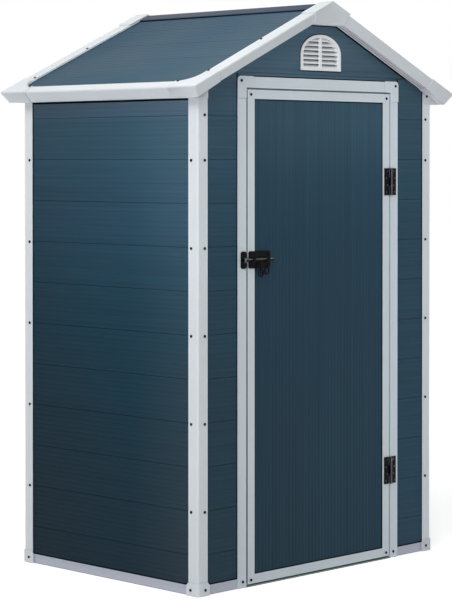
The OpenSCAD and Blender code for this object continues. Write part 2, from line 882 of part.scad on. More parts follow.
// Rod with a drop handle between the guides
module bolt_rod() {
    handle_x = bolt_left_x + 1.5 * guide_w + handle_room + bolt_travel + handle_w / 2;
    color(steel_color) {
        translate([rod_tip_x, rod_y, bolt_z]) rotate([0, 90, 0]) cylinder(r = rod_r, h = rod_len);
        translate([handle_x - handle_w / 2, rod_y - rod_r + over, bolt_z - handle_drop])
            cube([handle_w, handle_t, handle_drop]);
    }
}

// ---- Nodes ----

base_rails_front();
base_rails_side();
base_rail_back();
door_sill();
base_caps_front();
base_caps_back();
post(-1, -1);  // post_front_left
post(1, -1);  // post_front_right
post(-1, 1);  // post_back_left
post(1, 1);  // post_back_right
wall_left();
wall_right();
wall_back();
gable_back();
wall_front_left();
wall_front_right();
gable_front();
vent_front();
vent_back();
jamb_left();
jamb_right();
header();
header_caps();
roof_panel_left();
roof_panel_right();
ridge_strip();
rake_trims_left();
rake_trims_right();
eave_trim_left();
eave_trim_right();
corner_cap(-1, -1);  // corner_cap_front_left
corner_cap(1, -1);  // corner_cap_front_right
corner_cap(-1, 1);  // corner_cap_back_left
corner_cap(1, 1);  // corner_cap_back_right
peak_cap_front();
peak_cap_back();
hinge_frame_leaves();
bolt_keeper();
door_panel();
door_stile_left();
door_stile_right();
door_rails();
hinge_door_leaves();
bolt_plate();
bolt_rod();
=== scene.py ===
"""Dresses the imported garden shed: ribbed panels, moulded trims, fastenings and studio."""

import logging
import math
from contextlib import contextmanager
from dataclasses import dataclass, field, replace
from enum import Enum
from typing import Callable, Iterable, Iterator, Sequence

import bmesh
import bpy
from mathutils import Matrix, Vector


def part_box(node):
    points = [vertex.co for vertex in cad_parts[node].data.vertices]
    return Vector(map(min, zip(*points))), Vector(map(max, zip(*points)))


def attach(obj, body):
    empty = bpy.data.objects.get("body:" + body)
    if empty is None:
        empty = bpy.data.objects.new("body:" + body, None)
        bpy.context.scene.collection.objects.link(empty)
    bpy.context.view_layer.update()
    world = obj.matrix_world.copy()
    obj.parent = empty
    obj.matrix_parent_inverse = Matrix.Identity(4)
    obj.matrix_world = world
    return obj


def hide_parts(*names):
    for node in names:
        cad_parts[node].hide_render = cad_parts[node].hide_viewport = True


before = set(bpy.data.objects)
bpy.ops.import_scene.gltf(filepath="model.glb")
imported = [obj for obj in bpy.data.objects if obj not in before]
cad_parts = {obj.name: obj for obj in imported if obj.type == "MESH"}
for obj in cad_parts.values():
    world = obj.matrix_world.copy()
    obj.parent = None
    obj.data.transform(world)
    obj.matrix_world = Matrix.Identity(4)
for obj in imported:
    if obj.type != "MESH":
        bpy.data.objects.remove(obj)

log = logging.getLogger("shed")
MM = 0.001
HAIR = 0.02 * MM
X, Y, Z = Vector((1, 0, 0)), Vector((0, 1, 0)), Vector((0, 0, 1))
CORNERS = [(sx, sy) for sx in (-1, 1) for sy in (-1, 1)]
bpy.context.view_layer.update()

Place = tuple[Vector, Vector]
Colour = tuple[float, float, float]
Covers = Callable[[Vector, Vector], bool]
Accent = tuple[bpy.types.Material, Covers]


class Body(Enum):
    """The moving bodies of the shed."""

    SHED = "shed"
    DOOR = "door"
    BOLT = "bolt"


class Slot(Enum):
    """The record's material slots."""

    WALL = "wall_panel"
    ROOF = "roof_panel"
    TRIM = "white_trim"
    SILL = "dark_sill"
    STEEL = "black_steel"


class Kind(Enum):
    """What an edit tool picks."""

    VERT = "VERT"
    EDGE = "EDGE"
    FACE = "FACE"


def point(x: float, y: float, z: float) -> Vector:
    """A point given in millimetres, as a vector in metres."""
    return Vector((x, y, z)) * MM


# ---- Finishes ----


class Shader:
    """The nodes of one material while it is put together."""

    def __init__(self, name: str) -> None:
        """Starts a material of a name with its own Principled surface."""
        self.material = bpy.data.materials.new(name)
        self.material.use_nodes = True
        self.tree = self.material.node_tree
        self.surface = self.tree.nodes["Principled BSDF"]
        self.where = self.tree.nodes.new("ShaderNodeTexCoord").outputs["Object"]

    def node(self, kind: str, sockets: dict[str, object] | None = None, **settings: object) -> bpy.types.Node:
        """Adds a node and wires or sets its sockets.

        Args:
            kind: Node type without its prefix.
            sockets: Value or source socket for each input, by name or number.
            settings: Settings of the node itself.

        Returns:
            The new node.
        """
        node = self.tree.nodes.new("ShaderNode" + kind)
        for key, value in settings.items():
            setattr(node, key, value)
        for key, value in (sockets or {}).items():
            self.wire(value, node.inputs[key])
        return node

    def wire(self, value: object, socket: bpy.types.NodeSocket) -> None:
        """Joins a source socket to an input, or writes a constant into it."""
        if isinstance(value, bpy.types.NodeSocket):
            self.tree.links.new(value, socket)
        else:
            socket.default_value = value

    def surfaced(self, colour: object, rough: object, gloss: float) -> None:
        """Gives the surface its colour, roughness and gloss.

        Args:
            colour: Source or value of the base colour.
            rough: Source or value of the roughness.
            gloss: Specular level, the same all over.
        """
        self.wire(colour, self.surface.inputs["Base Color"])
        self.wire(rough, self.surface.inputs["Roughness"])
        self.surface.inputs["Specular IOR Level"].default_value = gloss

    def stretched(self, scale: Sequence[float]) -> bpy.types.NodeSocket:
        """Object coordinates, stretched by a scale on each axis."""
        return self.node("Mapping", {"Vector": self.where, "Scale": scale}).outputs["Vector"]

    def noise(self, scale: Sequence[float], detail: float = 3.0) -> bpy.types.NodeSocket:
        """A noise value with its own scale on each axis, in cycles per metre."""
        sockets = {"Vector": self.stretched(scale), "Scale": 1.0, "Detail": detail}
        return self.node("TexNoise", sockets).outputs["Fac"]

    def spread(self, value: bpy.types.NodeSocket, low: float, high: float,
               start: float = 0.3, end: float = 0.7) -> bpy.types.NodeSocket:
        """Maps a value from start..end on to low..high."""
        sockets = {"Value": value, "From Min": start, "From Max": end, "To Min": low, "To Max": high}
        return self.node("MapRange", sockets).outputs["Result"]

    def times(self, first: object, second: object) -> bpy.types.NodeSocket:
        """The product of two values."""
        return self.node("Math", {0: first, 1: second}, operation="MULTIPLY").outputs[0]

    def tinted(self, colour: object, shade: bpy.types.NodeSocket) -> bpy.types.NodeSocket:
        """A colour made lighter or darker by a value."""
        sockets = {0: colour, "Scale": shade}
        return self.node("VectorMath", sockets, operation="SCALE").outputs["Vector"]

    def bumped(self, height: bpy.types.NodeSocket, strength: float, distance: float) -> None:
        """Raises the surface a little by a height value."""
        sockets = {"Height": height, "Strength": strength, "Distance": distance}
        self.wire(self.node("Bump", sockets).outputs["Normal"], self.surface.inputs["Normal"])


@dataclass(frozen=True)
class RibbedPlastic:
    """Extruded slate-blue plastic with fine die lines along its planks.

    Its ramp gives a colour for each height, lighter towards the top as painted light. A painted light factor
    runs along one axis, from the low end to the high end, and a painted sheen makes it paler near the low
    end.
    """

    name: str
    # Colour for each height, lighter towards the top: painted light.
    ramp: tuple[tuple[float, Colour], ...]
    across: tuple[float, float, float]
    painted_side_light: tuple[str, float, float] = ("X", 1.0, 1.0)
    gloss: float = 0.1
    roughness: float = 0.42
    tallest: float = 2.0
    painted_sheen: Colour = (0.0, 0.0, 0.0)
    reach: float = 0.42
    painted_sheen_end: float = -0.12
    fine_lines: float = 260.0
    broad_lines: float = 36.0

    def material(self) -> bpy.types.Material:
        """The finish as a material: die lines, cloudy colour, painted light along one axis, a painted sheen
        and a fine grain.
        """
        shader = Shader(self.name)
        lines = shader.noise([1.2 + self.fine_lines * part for part in self.across])
        broad = shader.noise([0.8 + self.broad_lines * part for part in self.across])
        cloud = shader.noise((2.2, 2.2, 2.2), 4.0)
        where = shader.node("SeparateXYZ", {"Vector": shader.where}).outputs
        shade = shader.times(shader.spread(lines, 0.91, 1.09), shader.spread(broad, 0.94, 1.06))
        # Painted light: one end along the axis is lighter, as the light falls.
        axis, low, high = self.painted_side_light
        shade = shader.times(shade, shader.spread(where[axis], low, high, -self.reach, self.reach))
        shade = shader.times(shade, shader.spread(cloud, 0.94, 1.06))
        # Painted light: the ramp by height makes the top lighter.
        ramp = shader.node("ValToRGB", {"Fac": shader.times(where["Z"], 1 / self.tallest)})
        stops = ramp.color_ramp.elements
        while len(stops) < len(self.ramp):
            stops.new(1.0)
        for stop, (height, colour) in zip(stops, self.ramp):
            stop.position, stop.color = height / self.tallest, (*colour, 1)
        # Painted sheen: a pale tone added near the low end of the axis.
        painted_sheen_colour = shader.tinted(self.painted_sheen, shader.spread(where[axis], 1.0, 0.0, -self.reach, self.painted_sheen_end))
        sockets = {0: shader.tinted(ramp.outputs["Color"], shade), 1: painted_sheen_colour}
        colour = shader.node("VectorMath", sockets, operation="ADD").outputs["Vector"]
        rough = shader.spread(cloud, self.roughness - 0.05, self.roughness + 0.05)
        shader.surfaced(colour, rough, self.gloss)
        grain = shader.noise((900, 900, 900), 2.0)
        shader.bumped(shader.times(grain, shader.spread(lines, 0.6, 1.0)), 0.25, 0.12 * MM)
        return shader.material


@dataclass(frozen=True)
class TrimPlastic:
    """Satin white moulded plastic, a little darker towards the ground, with painted light across X."""

    name: str = "white_trim"
    colour: Colour = (0.72, 0.77, 0.81)
    foot: float = 0.9
    roughness: float = 0.36
    # Painted light: factors at the left and the right end that make one side lighter.
    sides: tuple[float, float] = (1.0, 1.0)
    gloss: float = 0.3

    def material(self) -> bpy.types.Material:
        """The finish as a material: faint clouding, darker low down, painted light across X and a fine grain.
        """
        shader = Shader(self.name)
        cloud = shader.noise((5, 5, 3), 4.0)
        specks = shader.noise((160, 160, 160), 3.0)
        where = shader.node("SeparateXYZ", {"Vector": shader.where}).outputs
        foot_darkening_and_side_light = shader.spread(where["Z"], self.foot, 1.0, 0.0, 1.4)
        # Painted light: the factor across X makes one side lighter, as the light falls.
        foot_darkening_and_side_light = shader.times(foot_darkening_and_side_light, shader.spread(where["X"], *self.sides, -0.5, 0.5))
        shade = shader.times(shader.spread(cloud, 0.965, 1.02), shader.spread(specks, 0.99, 1.01))
        rough = shader.spread(cloud, self.roughness - 0.04, self.roughness + 0.08)
        shader.surfaced(shader.tinted(self.colour, shader.times(shade, foot_darkening_and_side_light)), rough, self.gloss)
        shader.bumped(shader.noise((1100, 1100, 1100), 2.0), 0.18, 0.08 * MM)
        return shader.material


@dataclass(frozen=True)
class PaintedSteel:
    """Black paint with an orange-peel skin and a dull rub here and there."""

    name: str = "black_steel"
    colour: Colour = (0.004, 0.004, 0.005)
    rubbed: Colour = (0.012, 0.012, 0.013)
    roughness: float = 0.4
    gloss: float = 0.05

    def material(self) -> bpy.types.Material:
        """The finish as a material: rubbed patches, uneven gloss and orange peel."""
        shader = Shader(self.name)
        rub = shader.spread(shader.noise((90, 90, 60), 5.0), 0.0, 1.0, 0.52, 0.72)
        mix = shader.node("Mix", {0: rub, 6: (*self.colour, 1), 7: (*self.rubbed, 1)}, data_type="RGBA")
        rough = shader.spread(rub, self.roughness, self.roughness + 0.2, 0.0, 1.0)
        shader.surfaced(mix.outputs[2], rough, self.gloss)
        shader.bumped(shader.noise((420, 420, 420), 2.0), 0.3, 0.15 * MM)
        return shader.material


@dataclass(frozen=True)
class SillPlastic:
    """Matt dark plastic of the threshold, scuffed along its run."""

    name: str = "dark_sill"
    colour: Colour = (0.20, 0.26, 0.24)
    roughness: float = 0.62
    gloss: float = 0.4

    def material(self) -> bpy.types.Material:
        """The finish as a material: scuffs along the strip and a coarse grain."""
        shader = Shader(self.name)
        scuff = shader.noise((14, 200, 14), 5.0)
        shade = shader.spread(scuff, 0.75, 1.35)
        rough = shader.spread(scuff, self.roughness - 0.12, self.roughness + 0.1)
        shader.surfaced(shader.tinted(self.colour, shade), rough, self.gloss)
        shader.bumped(shader.noise((500, 500, 500), 3.0), 0.35, 0.2 * MM)
        return shader.material


class Paints:
    """The materials of the shed, made once."""

    def __init__(self) -> None:
        """Makes each finish."""
        # Colour ramps by height for the planked finishes, lighter towards the top as painted light. The side
        # walls' last two stops brighten the band under the eave as a painted highlight against its shadow.
        side = ((0.0, (0.001, 0.015, 0.028)), (0.5, (0.001, 0.022, 0.039)), (0.8, (0.003, 0.032, 0.056)),
                (1.0, (0.008, 0.043, 0.072)), (1.2, (0.017, 0.056, 0.094)), (1.35, (0.023, 0.066, 0.104)),
                (1.5, (0.030, 0.076, 0.114)), (1.54, (0.053, 0.099, 0.150)), (1.57, (0.112, 0.184, 0.248)))
        front = ((0.1, (0.015, 0.042, 0.064)), (0.5, (0.014, 0.044, 0.068)), (0.9, (0.017, 0.053, 0.084)),
                 (1.1, (0.018, 0.056, 0.090)), (1.3, (0.024, 0.069, 0.109)), (1.5, (0.038, 0.086, 0.130)),
                 (1.65, (0.058, 0.112, 0.162)), (1.8, (0.074, 0.136, 0.194)))
        door = ((0.1, (0.012, 0.040, 0.063)), (0.8, (0.013, 0.043, 0.072)), (1.1, (0.013, 0.047, 0.078)),
                (1.3, (0.017, 0.058, 0.094)), (1.5, (0.034, 0.082, 0.122)))
        roof = ((1.6, (0.018, 0.080, 0.132)), (1.75, (0.011, 0.069, 0.122)), (1.9, (0.014, 0.072, 0.128)))
        right = ((0.1, (0.018, 0.051, 0.083)), (0.5, (0.015, 0.053, 0.086)), (0.9, (0.017, 0.056, 0.088)),
                 (1.1, (0.017, 0.056, 0.089)), (1.3, (0.020, 0.065, 0.101)), (1.5, (0.028, 0.070, 0.105)),
                 (1.65, (0.036, 0.078, 0.112)))
        ridge = ((1.85, (0.040, 0.060, 0.096)), (1.9, (0.048, 0.072, 0.112)))
        # Painted shade: the door seam ramp runs from near black at the foot to pale grey higher up, for the
        # shade in the gap beside the door.
        seam = ((0.2, (0.003, 0.005, 0.007)), (0.45, (0.02, 0.024, 0.028)), (0.75, (0.13, 0.15, 0.16)),
                (1.4, (0.17, 0.19, 0.20)))
        # Each factor along X or Y is painted light: one end of a wall, gable, door, roof or ridge is lighter,
        # as the light falls. right_end_planks is a copy of end_planks with its own painted light ramp for the
        # right wall, and the painted sheen makes the side walls and the roof paler towards the front.
        self.walls = RibbedPlastic("side_planks", side, (0, 0, 1), ("Y", 1.32, 0.72),
                                   painted_sheen=(0.018, 0.016, 0.013)).material()
        self.ends = RibbedPlastic("end_planks", front, (0, 0, 1), ("X", 1.0, 1.18)).material()
        self.right_end = RibbedPlastic("right_end_planks", right, (0, 0, 1), ("X", 1.0, 1.18)).material()
        self.gables = RibbedPlastic("gable_planks", front, (0, 0, 1), ("X", 1.25, 0.85)).material()
        self.door = RibbedPlastic("door_planks", door, (1, 0, 0), ("X", 0.92, 1.2)).material()
        self.roof = RibbedPlastic("roof_planks", roof, (0.9, 0, 0.9), ("Y", 1.1, 0.76), 0.05, 0.5,
                                  painted_sheen=(0.024, 0.014, 0.002)).material()
        self.ridge = RibbedPlastic("ridge_plastic", ridge, (1, 0, 1), ("Y", 1.1, 0.85), 0.05, 0.5).material()
        self.door_seam = RibbedPlastic("door_seam", seam, (0, 0, 0), gloss=0.02, roughness=0.6).material()
        # Painted shade: near-black paint for the floors of the channels, the vent's rebate and the soffit
        # grooves.
        self.gap = SillPlastic("painted_gap_shade", (0.004, 0.008, 0.014), 0.7, 0.02).material()
        self.trim = TrimPlastic().material()
        # Painted light: the posts and the door frame are lighter towards the right.
        self.post = TrimPlastic("white_post", sides=(1.02, 1.15)).material()
        # Painted light: a paler copy of the trim's white for faces that look down, as if lit from below.
        self.soffit = TrimPlastic("painted_lit_soffit", (0.93, 0.91, 0.97), 1.0, 0.45).material()
        # This brighter white is also a painted highlight on the low step of the roof trims.
        self.vent = TrimPlastic("white_vent", (0.94, 0.98, 1.0), 1.0, 0.4).material()
        self.frame = TrimPlastic("white_door_frame", (0.68, 0.76, 0.815), sides=(0.95, 1.15)).material()
        # Painted shade: the sole rails are a darker grey copy of the white trim, and lighter towards the
        # right.
        self.rail = TrimPlastic("painted_shade_sole_rail", (0.46, 0.49, 0.57), 1.0, 0.45, (1.0, 1.15)).material()
        self.steel = PaintedSteel().material()
        # Painted highlight: a lighter, glossier steel for faces and screws that catch the light.
        self.painted_highlight = PaintedSteel("painted_highlight_steel", (0.05, 0.05, 0.052), (0.22, 0.22, 0.23), 0.4, 0.5).material()
        self.sill = SillPlastic().material()


# ---- The bench ----


def clear_bench() -> None:
    """Deselects everything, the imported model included."""
    bpy.ops.object.select_all(action="DESELECT")


class Workpiece:
    """A mesh on the bench, with the edit tools used on it."""

    def __init__(self, obj: bpy.types.Object) -> None:
        """Takes up an object."""
        self.obj = obj

    @classmethod
    def start(cls, name: str, primitive: Callable[..., object], **size: object) -> "Workpiece":
        """Starts a piece from a primitive, with its place in its mesh.

        Args:
            name: Name of the piece.
            primitive: The operator that adds it.
            size: Its size and place.

        Returns:
            The piece on the bench.
        """
        clear_bench()
        primitive(**size)
        piece = cls(bpy.context.active_object)
        piece.obj.name = piece.obj.data.name = name
        piece.place(piece.obj.matrix_world.copy())
        return piece

    @classmethod
    def copy_of(cls, obj: bpy.types.Object, name: str) -> "Workpiece":
        """Starts a piece from a copy of an object's mesh."""
        other = bpy.data.objects.new(name, obj.data.copy())
        other.data.name = name
        bpy.context.scene.collection.objects.link(other)
        return cls(other)

    @classmethod
    def from_solid(cls, node: str, name: str) -> "Workpiece":
        """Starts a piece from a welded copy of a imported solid, its flat faces made whole.

        Args:
            node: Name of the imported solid.
            name: Name of the piece.

        Returns:
            The piece on the bench.
        """
        piece = cls.copy_of(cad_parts[node], name)
        with piece.editing():
            bpy.ops.mesh.remove_doubles(threshold=HAIR)
            bpy.ops.mesh.select_all(action="SELECT")
            bpy.ops.mesh.dissolve_limited(angle_limit=math.radians(0.4))
        return piece

    def take_up(self) -> None:
        """Makes this piece the only one selected, and the active one."""
        clear_bench()
        self.obj.select_set(True)
        bpy.context.view_layer.objects.active = self.obj

    @contextmanager
    def editing(self) -> Iterator[None]:
        """Opens the mesh for editing with all of it selected, and closes it again."""
        self.take_up()
        bpy.ops.object.mode_set(mode="EDIT")
        bpy.ops.mesh.select_all(action="SELECT")
        yield
        bpy.ops.object.mode_set(mode="OBJECT")

    def pick(self, kind: Kind, test: Callable[[object], bool]) -> None:
        """Selects the vertices, edges or faces that pass a test."""
        bpy.ops.mesh.select_mode(type=kind.value)
        bpy.ops.mesh.select_all(action="DESELECT")
        mesh = bmesh.from_edit_mesh(self.obj.data)
        layer = {Kind.VERT: mesh.verts, Kind.EDGE: mesh.edges, Kind.FACE: mesh.faces}[kind]
        for element in layer:
            if test(element):
                element.select_set(True)
        mesh.select_flush_mode()
        bmesh.update_edit_mesh(self.obj.data)

    def round_edges(self, width: float, test: Callable[[bmesh.types.BMEdge], bool]) -> None:
        """Rounds the edges that pass a test, inside an edit."""
        self.pick(Kind.EDGE, test)
        bpy.ops.mesh.bevel(offset=width, segments=4, profile=0.5)

    def cut(self, at: Vector, normal: Vector, clear: bool = False, fill: bool = False) -> None:
        """Cuts the whole mesh along a plane, inside an edit.

        Args:
            at: A point of the plane.
            normal: Direction square to the plane.
            clear: Whether what lies on the side of the normal goes.
            fill: Whether the cut is closed.
        """
        bpy.ops.mesh.select_all(action="SELECT")
        bpy.ops.mesh.bisect(plane_co=at, plane_no=normal, clear_outer=clear, use_fill=fill)

    def remove(self, test: Callable[[bmesh.types.BMFace], bool]) -> None:
        """Removes the faces that pass a test, inside an edit."""
        self.pick(Kind.FACE, test)
        bpy.ops.mesh.delete(type="FACE")

    def modify(self, kind: str, **settings: object) -> None:
        """Adds a modifier of one type with its settings, and applies it."""
        self.take_up()
        modifier = self.obj.modifiers.new(kind.title(), kind)
        for key, value in settings.items():
            setattr(modifier, key, value)
        bpy.ops.object.modifier_apply(modifier=modifier.name)

    def soften(self, width: float, segments: int = 2) -> None:
        """Rounds all sharp edges."""
        self.modify("BEVEL", width=width, segments=segments, limit_method="ANGLE",
                    angle_limit=math.radians(35), use_clamp_overlap=True)

    def place(self, matrix: Matrix) -> None:
        """Puts the piece where it belongs, with its place in its mesh."""
        self.take_up()
        self.obj.matrix_world = matrix
        bpy.ops.object.transform_apply(location=True, rotation=True, scale=True)

    def twin(self, name: str, matrix: Matrix) -> "Workpiece":
        """A copy with its own mesh, moved by a matrix."""
        other = Workpiece.copy_of(self.obj, name)
        other.place(matrix)
        return other

    def join(self, others: Sequence["Workpiece"]) -> None:
        """Takes other pieces into this one."""
        self.take_up()
        for piece in others:
            piece.obj.select_set(True)
        bpy.ops.object.join()

    def finish(self, paint: bpy.types.Material, slot: Slot, body: Body,
               stands_for: Sequence[str] = (), angle: float = 35.0, flat: bool = False,
               accents: Sequence[Accent] = ()) -> None:
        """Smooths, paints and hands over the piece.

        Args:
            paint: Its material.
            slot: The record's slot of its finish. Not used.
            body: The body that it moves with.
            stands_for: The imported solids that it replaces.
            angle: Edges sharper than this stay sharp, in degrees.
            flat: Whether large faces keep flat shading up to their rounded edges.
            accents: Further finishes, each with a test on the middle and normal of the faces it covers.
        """
        self.take_up()
        bpy.ops.object.shade_smooth_by_angle(angle=math.radians(angle))
        if flat:
            self.modify("WEIGHTED_NORMAL", keep_sharp=True, weight=100)
        self.obj.data.materials.clear()
        self.obj.data.materials.append(paint)
        for number, (accent, covers) in enumerate(accents, 1):
            self.obj.data.materials.append(accent)
            for polygon in self.obj.data.polygons:
                if covers(polygon.center, polygon.normal):
                    polygon.material_index = number
        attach(self.obj, body.value)
        if stands_for:
            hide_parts(*stands_for)
        log.info("%s: %d faces, on %s", self.obj.name, len(self.obj.data.polygons), body.value)


def axes(across: Vector, along: Vector, at: Vector) -> Matrix:
    """A place for a piece made flat, with X across, Y along and Z out of its face."""
    out = across.cross(along)
    matrix = Matrix((across, along, out)).transposed().to_4x4()
    matrix.translation = at
    return matrix


@dataclass(frozen=True)
class Recess:
    """A sunken band along a face, with sloping sides."""

    face: Vector
    level: float
    across: Vector
    start: float
    end: float
    depth: float = 0.8 * MM
    ramp: float = 2.0 * MM
    reach: float = 0.2 * MM

    def sink(self, piece: Workpiece) -> None:
        """Cuts the band's lines into the piece and presses its floor in, inside an edit."""
        low, high = self.start + self.ramp, self.end - self.ramp
        for line in (self.start, low, high, self.end):
            piece.cut(self.across * line, self.across)
        piece.pick(Kind.VERT, lambda v: abs(v.co.dot(self.face) - self.level) < self.reach
                   and low - HAIR < v.co.dot(self.across) < high + HAIR)
        bpy.ops.transform.translate(value=self.face * -self.depth)

    def holds(self, at: Vector) -> bool:
        """Whether a point is down in the band."""
        sunk = self.level - at.dot(self.face)
        return self.start < at.dot(self.across) < self.end and self.depth / 2 < sunk < 2 * self.depth


def channel(face: Vector, level: float, across: Vector, edge: float, width: float = 3.6 * MM) -> Recess:
    """The narrow open channel that a panel leaves beside a trim.

    Args:
        face: Direction that the panel looks in.
        level: Level of its face.
        across: Direction across the channel, away from the trim.
        edge: Place of the trim's edge in that direction.
        width: Width that shows.

    Returns:
        The channel, to be sunk into the panel.
    """
    return Recess(face, level, across, edge - 2 * MM, edge + width, depth=4.5 * MM, ramp=0.5 * MM,
                  reach=3 * MM)


# ---- Panels ----


@dataclass(frozen=True)
class RoofLines:
    """The slopes of the roof. Depths are square to the slope, down from its top."""

    pitch: float = math.radians(24.7)
    apex: float = 1901.4 * MM

    def height(self, x: float, depth: float) -> float:
        """Height of the line at a depth, over the place x."""
        return self.apex - depth / math.cos(self.pitch) - abs(x) * math.tan(self.pitch)

    def level(self, depth: float) -> float:
        """Level of the line at a depth, measured square to the slope from the origin."""
        return self.apex * math.cos(self.pitch) - depth

    def run(self, distance: float) -> float:
        """Place at a distance from the apex, measured down the slope from the origin."""
        return distance - self.apex * math.sin(self.pitch)

    def normal(self, side: int) -> Vector:
        """Direction square to one slope, outwards."""
        return Vector((side * math.sin(self.pitch), 0, math.cos(self.pitch)))

    def down(self, side: int) -> Vector:
        """Direction down one slope."""
        return Vector((side * math.cos(self.pitch), 0, -math.sin(self.pitch)))


@dataclass(frozen=True)
class Layout:
    """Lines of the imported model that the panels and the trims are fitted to."""

    # Faces of the walls, and outer faces of the posts and sole rails
    side_level: float = 572 * MM
    end_level: float = 422 * MM
    rail_x: float = 575 * MM
    rail_y: float = 425 * MM
    # Depth of a wall's top under the roof, and edges of the rails and posts beside it
    wall_top: float = 18.8 * MM
    rail_top: float = 33 * MM
    post_x: float = 532 * MM
    post_y: float = 382 * MM
    post_width: float = 43 * MM
    # The door frame and the door: edges, widths and joints
    jamb_x: float = 395 * MM
    jamb_width: float = 38.5 * MM
    jamb_joint: float = 1577.5 * MM
    header_foot: float = 1610.5 * MM
    header_width: float = 36 * MM
    header_top: float = 1646.5 * MM
    header_joint: float = 326 * MM
    stile_x: float = 350.9 * MM
    stile_inner: float = 317.9 * MM
    stile_width: float = 33 * MM
    rail_feet: tuple[float, float] = (9 * MM, 1574.9 * MM)
    rail_width: float = 30 * MM
    low_rail_top: float = 39 * MM
    # The roof: outer edges, depths square to the slope, and distances down it
    roof_x: float = 638 * MM
    roof_y: float = 477 * MM
    roof_top: float = 6.5 * MM
    roof_inset: float = 14 * MM
    ridge_edge: float = 48 * MM
    board_depth: float = 36 * MM
    peak_foot: float = 1825.9 * MM
    eave_foot: float = 1580 * MM
    ledge_x: float = 602 * MM
    ledge_y: float = 420 * MM
    # The rebate round a vent, and how far in its floor lies
    vent_half: float = 102 * MM
    vent_foot: float = 1670 * MM
    vent_top: float = 1802 * MM
    rebate_floor: float = 418 * MM


ROOF = RoofLines()
LINES = Layout()


@dataclass
class RibbedSheet:
    """A twin-wall panel extruded as planks of shallow flutes, with a deeper seam between planks.

    It is made flat, flute by flute, and put in place with X across the planks and Y along them.
    """

    name: str
    solid: str
    across: Vector
    along: Vector
    corner: Vector
    spread: float
    length: float
    first_seam: float
    thickness: float = 16 * MM
    pitch: float = 138.9 * MM
    flutes: int = 9
    groove: float = 0.8 * MM
    crown: float = 0.7 * MM
    seam: float = 2.0 * MM
    lip: float = 0.75 * MM
    crest: tuple[tuple[float, float], ...] = ((0.22, 0.62), (0.5, 0.0), (0.78, 0.62))
    cuts: list[Place] = field(default_factory=list)

    def flute(self) -> list[tuple[float, float]]:
        """The outline of one flute, as steps across and heights."""
        width, edge = self.pitch / self.flutes, -self.crown
        crest = [(width * part, edge * drop) for part, drop in self.crest]
        foot = edge - self.groove
        return [(0, foot), (self.lip, edge), *crest, (width - self.lip, edge), (width, foot)]

    def repeat(self, piece: Workpiece, count: int, step: float) -> None:
        """Repeats a piece across the panel, welded edge to edge."""
        piece.modify("ARRAY", count=count, use_relative_offset=False, use_constant_offset=True,
                     constant_offset_displace=(step, 0, 0), use_merge_vertices=True, merge_threshold=HAIR)

    def plank(self) -> Workpiece:
        """One plank of flutes, lying flat."""
        outline = self.flute()
        piece = Workpiece.start(self.name, bpy.ops.mesh.primitive_plane_add, size=1)
        width = outline[1][0]
        with piece.editing():
            bpy.ops.transform.resize(value=(width, self.length, 1))
            bpy.ops.transform.translate(value=(width / 2, self.length / 2, outline[0][1]))
            piece.pick(Kind.VERT, lambda v: v.co.x > width / 2)
            bpy.ops.transform.translate(value=(0, 0, outline[1][1] - outline[0][1]))
            for before, after in zip(outline[1:], outline[2:]):
                edge = before[0] - HAIR
                piece.pick(Kind.EDGE, lambda e: min(v.co.x for v in e.verts) > edge)
                step = (after[0] - before[0], 0, after[1] - before[1])
                bpy.ops.mesh.extrude_edges_move(TRANSFORM_OT_translate={"value": step})
        self.repeat(piece, self.flutes, self.pitch / self.flutes)
        with piece.editing():
            piece.pick(Kind.VERT, lambda v: v.co.x < HAIR or v.co.x > self.pitch - HAIR)
            bpy.ops.transform.translate(value=(0, 0, self.groove - self.seam))
        return piece

    def build(self) -> Workpiece:
        """The whole panel in place, cut to its outline, still without its thickness."""
        piece = self.plank()
        start = self.first_seam - self.pitch * math.ceil(self.first_seam / self.pitch)
        count = math.ceil((self.spread - start) / self.pitch)
        self.repeat(piece, count, self.pitch)
        with piece.editing():
            bpy.ops.transform.translate(value=(start, 0, 0))
            piece.cut(Vector((0, 0, 0)), -X, clear=True)
            piece.cut(Vector((self.spread, 0, 0)), X, clear=True)
        piece.place(axes(self.across, self.along, self.corner))
        with piece.editing():
            for at, normal in self.cuts:
                piece.cut(at, normal, clear=True)
        return piece

    def thicken(self, piece: Workpiece) -> None:
        """Gives the sheet its thickness, inwards."""
        piece.modify("SOLIDIFY", thickness=self.thickness, offset=-1, use_rim=True, use_even_offset=False)


